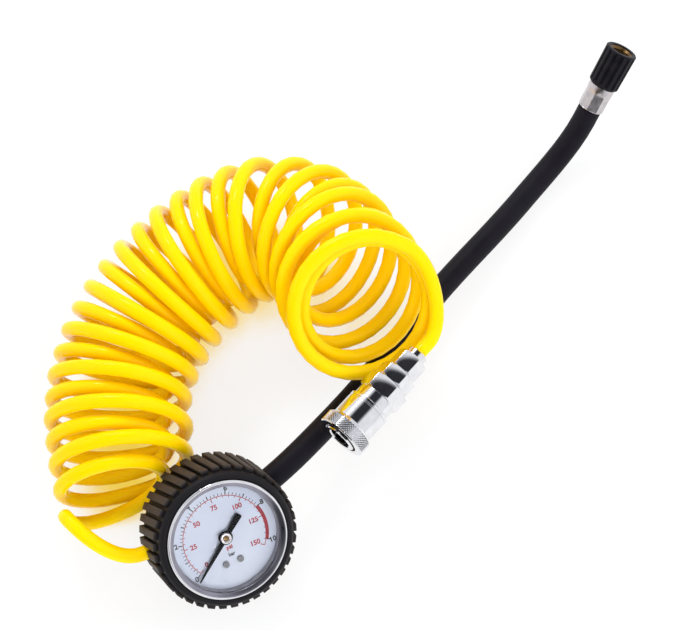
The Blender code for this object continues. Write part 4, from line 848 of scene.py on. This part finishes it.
def hexBlock(acrossFlats, front, back):
    # a hexagon with its corners turned off at both ends
    build = bmesh.new()
    bmesh.ops.create_cone(build, cap_ends=True, segments=6, radius1=acrossFlats / math.sqrt(3) * mm,
                          radius2=acrossFlats / math.sqrt(3) * mm, depth=(back - front) * mm,
                          matrix=Matrix.Translation((0, 0, -(front + back) / 2 * mm)) @ Matrix.Rotation(turn / 12, 4, 'Z'))
    corners = sorted({round(math.atan2(v.co.y, v.co.x), 3) for v in build.verts})
    slope = math.radians(coupler["chamfer"])
    for end, face in ((1, -front), (-1, -back)):
        for corner in corners:
            normal = Vector((math.cos(corner) * math.sin(slope), math.sin(corner) * math.sin(slope),
                             end * math.cos(slope)))
            reach = acrossFlats / 2 * 0.97 * mm
            place = Vector((math.cos(corner) * reach, math.sin(corner) * reach, face * mm))
            bmesh.ops.bisect_plane(build, geom=build.verts[:] + build.edges[:] + build.faces[:], plane_co=place,
                                   plane_no=normal, clear_outer=True, dist=0.0000001)
            bmesh.ops.holes_fill(build, edges=[e for e in build.edges if e.is_boundary], sides=0)
    bmesh.ops.recalc_face_normals(build, faces=build.faces)
    return softened(build, coupler["edge"], 2, 20)


def makeCouplerTail():
    flats, front, back = coupler["nutHex"]
    radius, end = coupler["tail"]
    build = hexBlock(flats, front, back)
    neck = turned([(radius, -back + 0.6), (radius, -end + 0.5), (radius - 0.5, -end), (coupler["airWay"], -end),
                   (coupler["airWay"], -back + 0.6)], 48)
    added(build, neck)
    collar = turned([(6.6, -front + 0.25), (6.6, -front - 0.7), (3.0, -front - 0.7), (3.0, -front + 0.25)], 48)
    added(build, softened(collar, 0.15, 2))
    placed(meshObject("couplerNut", build, paints["chrome"], couplerAt, 25), "gauge", "chrome", "hose_nut")
    flats, front, back = coupler["adapterHex"]
    build = hexBlock(flats, front, back)
    neck = turned([(6.1, -front + 6.7), (6.1, -front - 0.6), (coupler["airWay"], -front - 0.6),
                   (coupler["airWay"], -front + 6.7)], 48)
    added(build, neck)
    washer = turned([(8.15, -back + 0.3), (8.15, -back - 0.28), (5.4, -back - 0.28), (5.4, -back + 0.3)], 64)
    added(build, softened(washer, 0.12, 2))
    placed(meshObject("couplerAdapter", build, paints["chrome"], couplerAt, 25), "gauge", "chrome",
           "coupler_adapter")


def makeCouplerBody():
    flats, front, back = coupler["bodyHex"]
    build = hexBlock(flats, front, back)
    barrel = turned([(coupler["barrel"] - 0.5, 0), (coupler["barrel"], -0.5), (coupler["barrel"], -coupler["guideFront"]),
                     (coupler["guide"], -coupler["guideFront"]), (coupler["guide"], -front - 0.6),
                     (coupler["chamber"], -front - 0.6), (coupler["chamber"], -coupler["boreDepth"]),
                     (coupler["bore"], -coupler["boreDepth"]), (coupler["bore"], -0.6), (coupler["bore"] + 0.6, 0)], 96)
    added(build, barrel)
    placed(meshObject("couplerBody", build, paints["chrome"], couplerAt, 25), "gauge", "chrome", "coupler_body")


def knurlHeight(across, along):
    # two crossing sets of grooves leave small pyramids
    first, second = (across + along) % 1, (across - along) % 1
    return 2 * min(first, 1 - first, second, 1 - second)


def makeSleeve():
    knurlRows = sleeve["rows"] * sleeve["fine"]
    start, end = sleeve["start"] + 0.7, sleeve["knurlEnd"] - 0.2
    grip = [(sleeve["knurl"], -start - (end - start) * row / knurlRows) for row in range(knurlRows + 1)]
    profile = [(sleeve["relief"], -sleeve["start"]), (sleeve["knurl"] - 0.9, -sleeve["start"]),
               (sleeve["knurl"] - 0.25, -sleeve["start"] - 0.35), *grip,
               (sleeve["knurl"] - 0.2, -sleeve["knurlEnd"]), (sleeve["radius"], -sleeve["knurlEnd"] - 1.7),
               (sleeve["radius"], -sleeve["back"] + 2.6), (sleeve["radius"] - 0.35, -sleeve["back"] + 2.4),
               (sleeve["radius"] - 0.35, -sleeve["back"] + 1.9), (sleeve["radius"], -sleeve["back"] + 1.7),
               (sleeve["radius"], -sleeve["back"] + 0.35), (sleeve["radius"] - 0.35, -sleeve["back"]),
               (sleeve["skirt"], -sleeve["back"]), (sleeve["skirt"], -9.2), (sleeve["relief"], -9.2)]
    build = turned(profile, sleeve["around"] * sleeve["fine"])
    for vertex in build.verts:
        depth = -vertex.co.z / mm
        radius = vertex.co.xy.length / mm
        if start - 0.01 < depth < end + 0.01 and radius > sleeve["knurl"] - 0.02:
            across = math.atan2(vertex.co.y, vertex.co.x) / turn * sleeve["around"]
            along = (depth - start) / (end - start) * sleeve["rows"]
            sunk = sleeve["depth"] * (1 - knurlHeight(across, along))
            vertex.co.xy *= (radius - sunk) / radius
    placed(meshObject("couplerSleeve", build, paints["chrome"], couplerAt, 25), "sleeve", "chrome",
           "coupler_sleeve")
    print("coupler made")


# both springs stand on the body, each a wire wound to fill the box of its part
springs = {
    "sleeveSpring": {"node": "sleeve_spring", "joint": "sleeve_slide", "wire": 0.9, "curls": 5, "perCurl": 24,
                     "travel": 5.0},
    "poppetSpring": {"node": "poppet_spring", "joint": "poppet_slide", "wire": 0.9, "curls": 5, "perCurl": 24,
                     "travel": 4.0},
}


def makeSprings():
    for name, spring in springs.items():
        low, high = (np.array(corner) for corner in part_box(spring["node"]))
        wire = spring["wire"] * mm
        middle, reach = (low + high) / 2, (high[0] - low[0] - wire) / 2
        step = np.linspace(0, 1, spring["curls"] * spring["perCurl"] + 1)
        angle = turn * spring["curls"] * step
        along = high[1] - wire / 2 - (high[1] - low[1] - wire) * step
        points = np.stack([middle[0] + reach * np.cos(angle), along, middle[2] + reach * np.sin(angle)], axis=1)
        made = tubeMesh(name, points, wire, 12, paints["steel"])
        placed(made, "gauge", "steel", spring["node"])
        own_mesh(made)
    print("springs made")


# ---- chuck and crimped ferrule: local +Z leaves through the mouth
chuck = {
    "radius": 8.2, "length": 20.0, "ribs": 14, "groove": 1.05, "grooveShare": 0.40, "stop": 0.9, "edge": 0.5, "mouth": 6.0,
    "insertHole": 6.6, "neckHole": 4.4, "insert": 6.3, "bore": 4.4, "insertLength": 9.0, "threadTurns": 7,
    "threadStep": 0.85, "threadDepth": 0.4, "rows": 22, "perRib": 12,
}
ferrule = {"radius": 6.8, "front": -20.3, "back": -34.3, "flats": 8, "press": 0.62, "collar": 2.2, "ease": 3.2,
           "rows": 30, "perFlat": 14, "hole": 4.3}


def makeChuck():
    length, radius, edge = chuck["length"], chuck["radius"], chuck["edge"]
    side = [(radius, -edge - (length - 2 * edge) * row / chuck["rows"]) for row in range(chuck["rows"] + 1)]
    profile = [(chuck["mouth"], -0.45), (chuck["mouth"], -0.15), (chuck["mouth"] + 0.15, 0), (radius - edge, 0), *side, (radius - edge, -length),
               (chuck["neckHole"], -length), (chuck["neckHole"], -length + 3), (5.9, -length + 3), (5.9, -9.6),
               (chuck["insertHole"], -9.6), (chuck["insertHole"], -0.45)]
    build = turned(profile, chuck["ribs"] * chuck["perRib"])
    for vertex in build.verts:
        reach = vertex.co.xy.length / mm
        if reach < radius - 0.02:
            continue
        depth = -vertex.co.z / mm
        part = (math.atan2(vertex.co.y, vertex.co.x) / turn * chuck["ribs"]) % 1
        gap = abs(part - 0.5) * 2 / chuck["grooveShare"]
        inGroove = max(0.0, 1 - gap * gap)
        ends = min(1.0, max(0.0, (min(depth, length - depth) - edge) / chuck["stop"]))
        sunk = chuck["groove"] * inGroove ** 0.6 * ends
        taper = 0.35 * depth / length
        vertex.co.xy *= (reach - sunk - taper) / reach
    placed(meshObject("chuckGrip", build, paints["chuckPlastic"], chuckAt, 35), "chuck", "black_plastic",
           "chuck_nut")
    bore = turned([(chuck["insert"], -0.5), (chuck["insert"], -chuck["insertLength"]),
                   (chuck["bore"], -chuck["insertLength"]), (chuck["bore"], -1.6), (chuck["bore"] + 0.5, -0.8),
                   (chuck["bore"] + 0.8, -0.5)], 64)
    ridge = bmesh.new()
    points = [ridge.verts.new((x * mm, 0, z * mm)) for x, z in
              ((chuck["bore"] + 0.1, -2.0), (chuck["bore"] - chuck["threadDepth"], -2.2), (chuck["bore"] + 0.1, -2.4))]
    for first, second in zip(points, points[1:]):
        ridge.edges.new((first, second))
    steps = chuck["threadTurns"] * 40
    bmesh.ops.spin(ridge, geom=ridge.verts[:] + ridge.edges[:], cent=(0, 0, 0), axis=(0, 0, 1),
                   angle=turn * chuck["threadTurns"], steps=steps, use_merge=False, use_duplicate=False,
                   dvec=(0, 0, -chuck["threadStep"] * chuck["threadTurns"] * mm / steps))
    bmesh.ops.recalc_face_normals(ridge, faces=ridge.faces)
    added(bore, ridge)
    # the insert deep in the mouth is darkened with painted shade
    placed(meshObject("chuckThread", bore, paints["dullAndShadedBrass"], chuckAt, 30), "chuck", "brass", "chuck_insert")
    print("chuck made")


def makeFerrule():
    front, back, radius = ferrule["front"], ferrule["back"], ferrule["radius"]
    side = [(radius, front - 0.5 - (front - back - 0.9) * row / ferrule["rows"]) for row in range(ferrule["rows"] + 1)]
    profile = [(ferrule["hole"], front), (radius - 0.5, front), *side, (radius - 0.4, back), (0, back)]
    build = turned([(ferrule["hole"], front - 9), *profile[:-1], (ferrule["hole"], back)],
                   ferrule["flats"] * ferrule["perFlat"])
    for vertex in build.verts:
        reach = vertex.co.xy.length / mm
        if reach < radius - 0.02:
            continue
        behind = front - ferrule["collar"] - vertex.co.z / mm
        press = min(1.0, max(0.0, behind / ferrule["ease"]))
        press = press * press * (3 - 2 * press)
        part = (math.atan2(vertex.co.y, vertex.co.x) / turn * ferrule["flats"]) % 1 - 0.5
        flat = (radius - ferrule["press"] * press) / math.cos(part * turn / ferrule["flats"])
        vertex.co.xy *= min(radius, flat) / reach
    made = meshObject("crimpFerrule", build, paints["crimpedSteel"], chuckAt, 24)
    placed(made, "gauge", "chrome", "ferrule")


# ---- what stays as the CAD has it gets its finish
nodePaints = {
    "gauge_case": "steel", "dial_plate": "dialEnamel", "lens": "lensGlass", "socket": "brass",
    "bourdon_tube": "brass", "bourdon_tip": "brass", "movement_back_plate": "brass",
    "movement_front_plate": "brass", "movement_pillar_1": "brass", "movement_pillar_2": "brass",
    "pointer_arbor": "steel", "sector_gear": "brass", "link": "brass", "hairspring": "steel",
    "manifold": "brass", "inlet_fitting": "brass", "outlet_fitting": "brass", "chuck_stem": "brass",
    "chuck_seal": "sealRubber", "chuck_pin": "brass",
    "retaining_ring": "steel", "mouth_seal": "sealRubber", "valve_poppet": "brass",
    "lock_ball_1": "steel", "lock_ball_2": "steel", "lock_ball_3": "steel", "lock_ball_4": "steel",
}


def paintNodes():
    for name, paint in nodePaints.items():
        mesh = nodes[name].data
        mesh.materials.clear()
        mesh.materials.append(paints[paint])
    print("nodes painted:", len(nodePaints))


makeCamera()
makeStudio()
# what the hoses carry is there before they are
makeCouplerTail()
makeCouplerBody()
makeSleeve()
makeSprings()
makeFerrule()
makeChuck()
makeCoil()
makeWhip()
makeBoot()
makeBezel()
makeDialPrint()
makePointer()
makeDialScrews()
paintNodes()
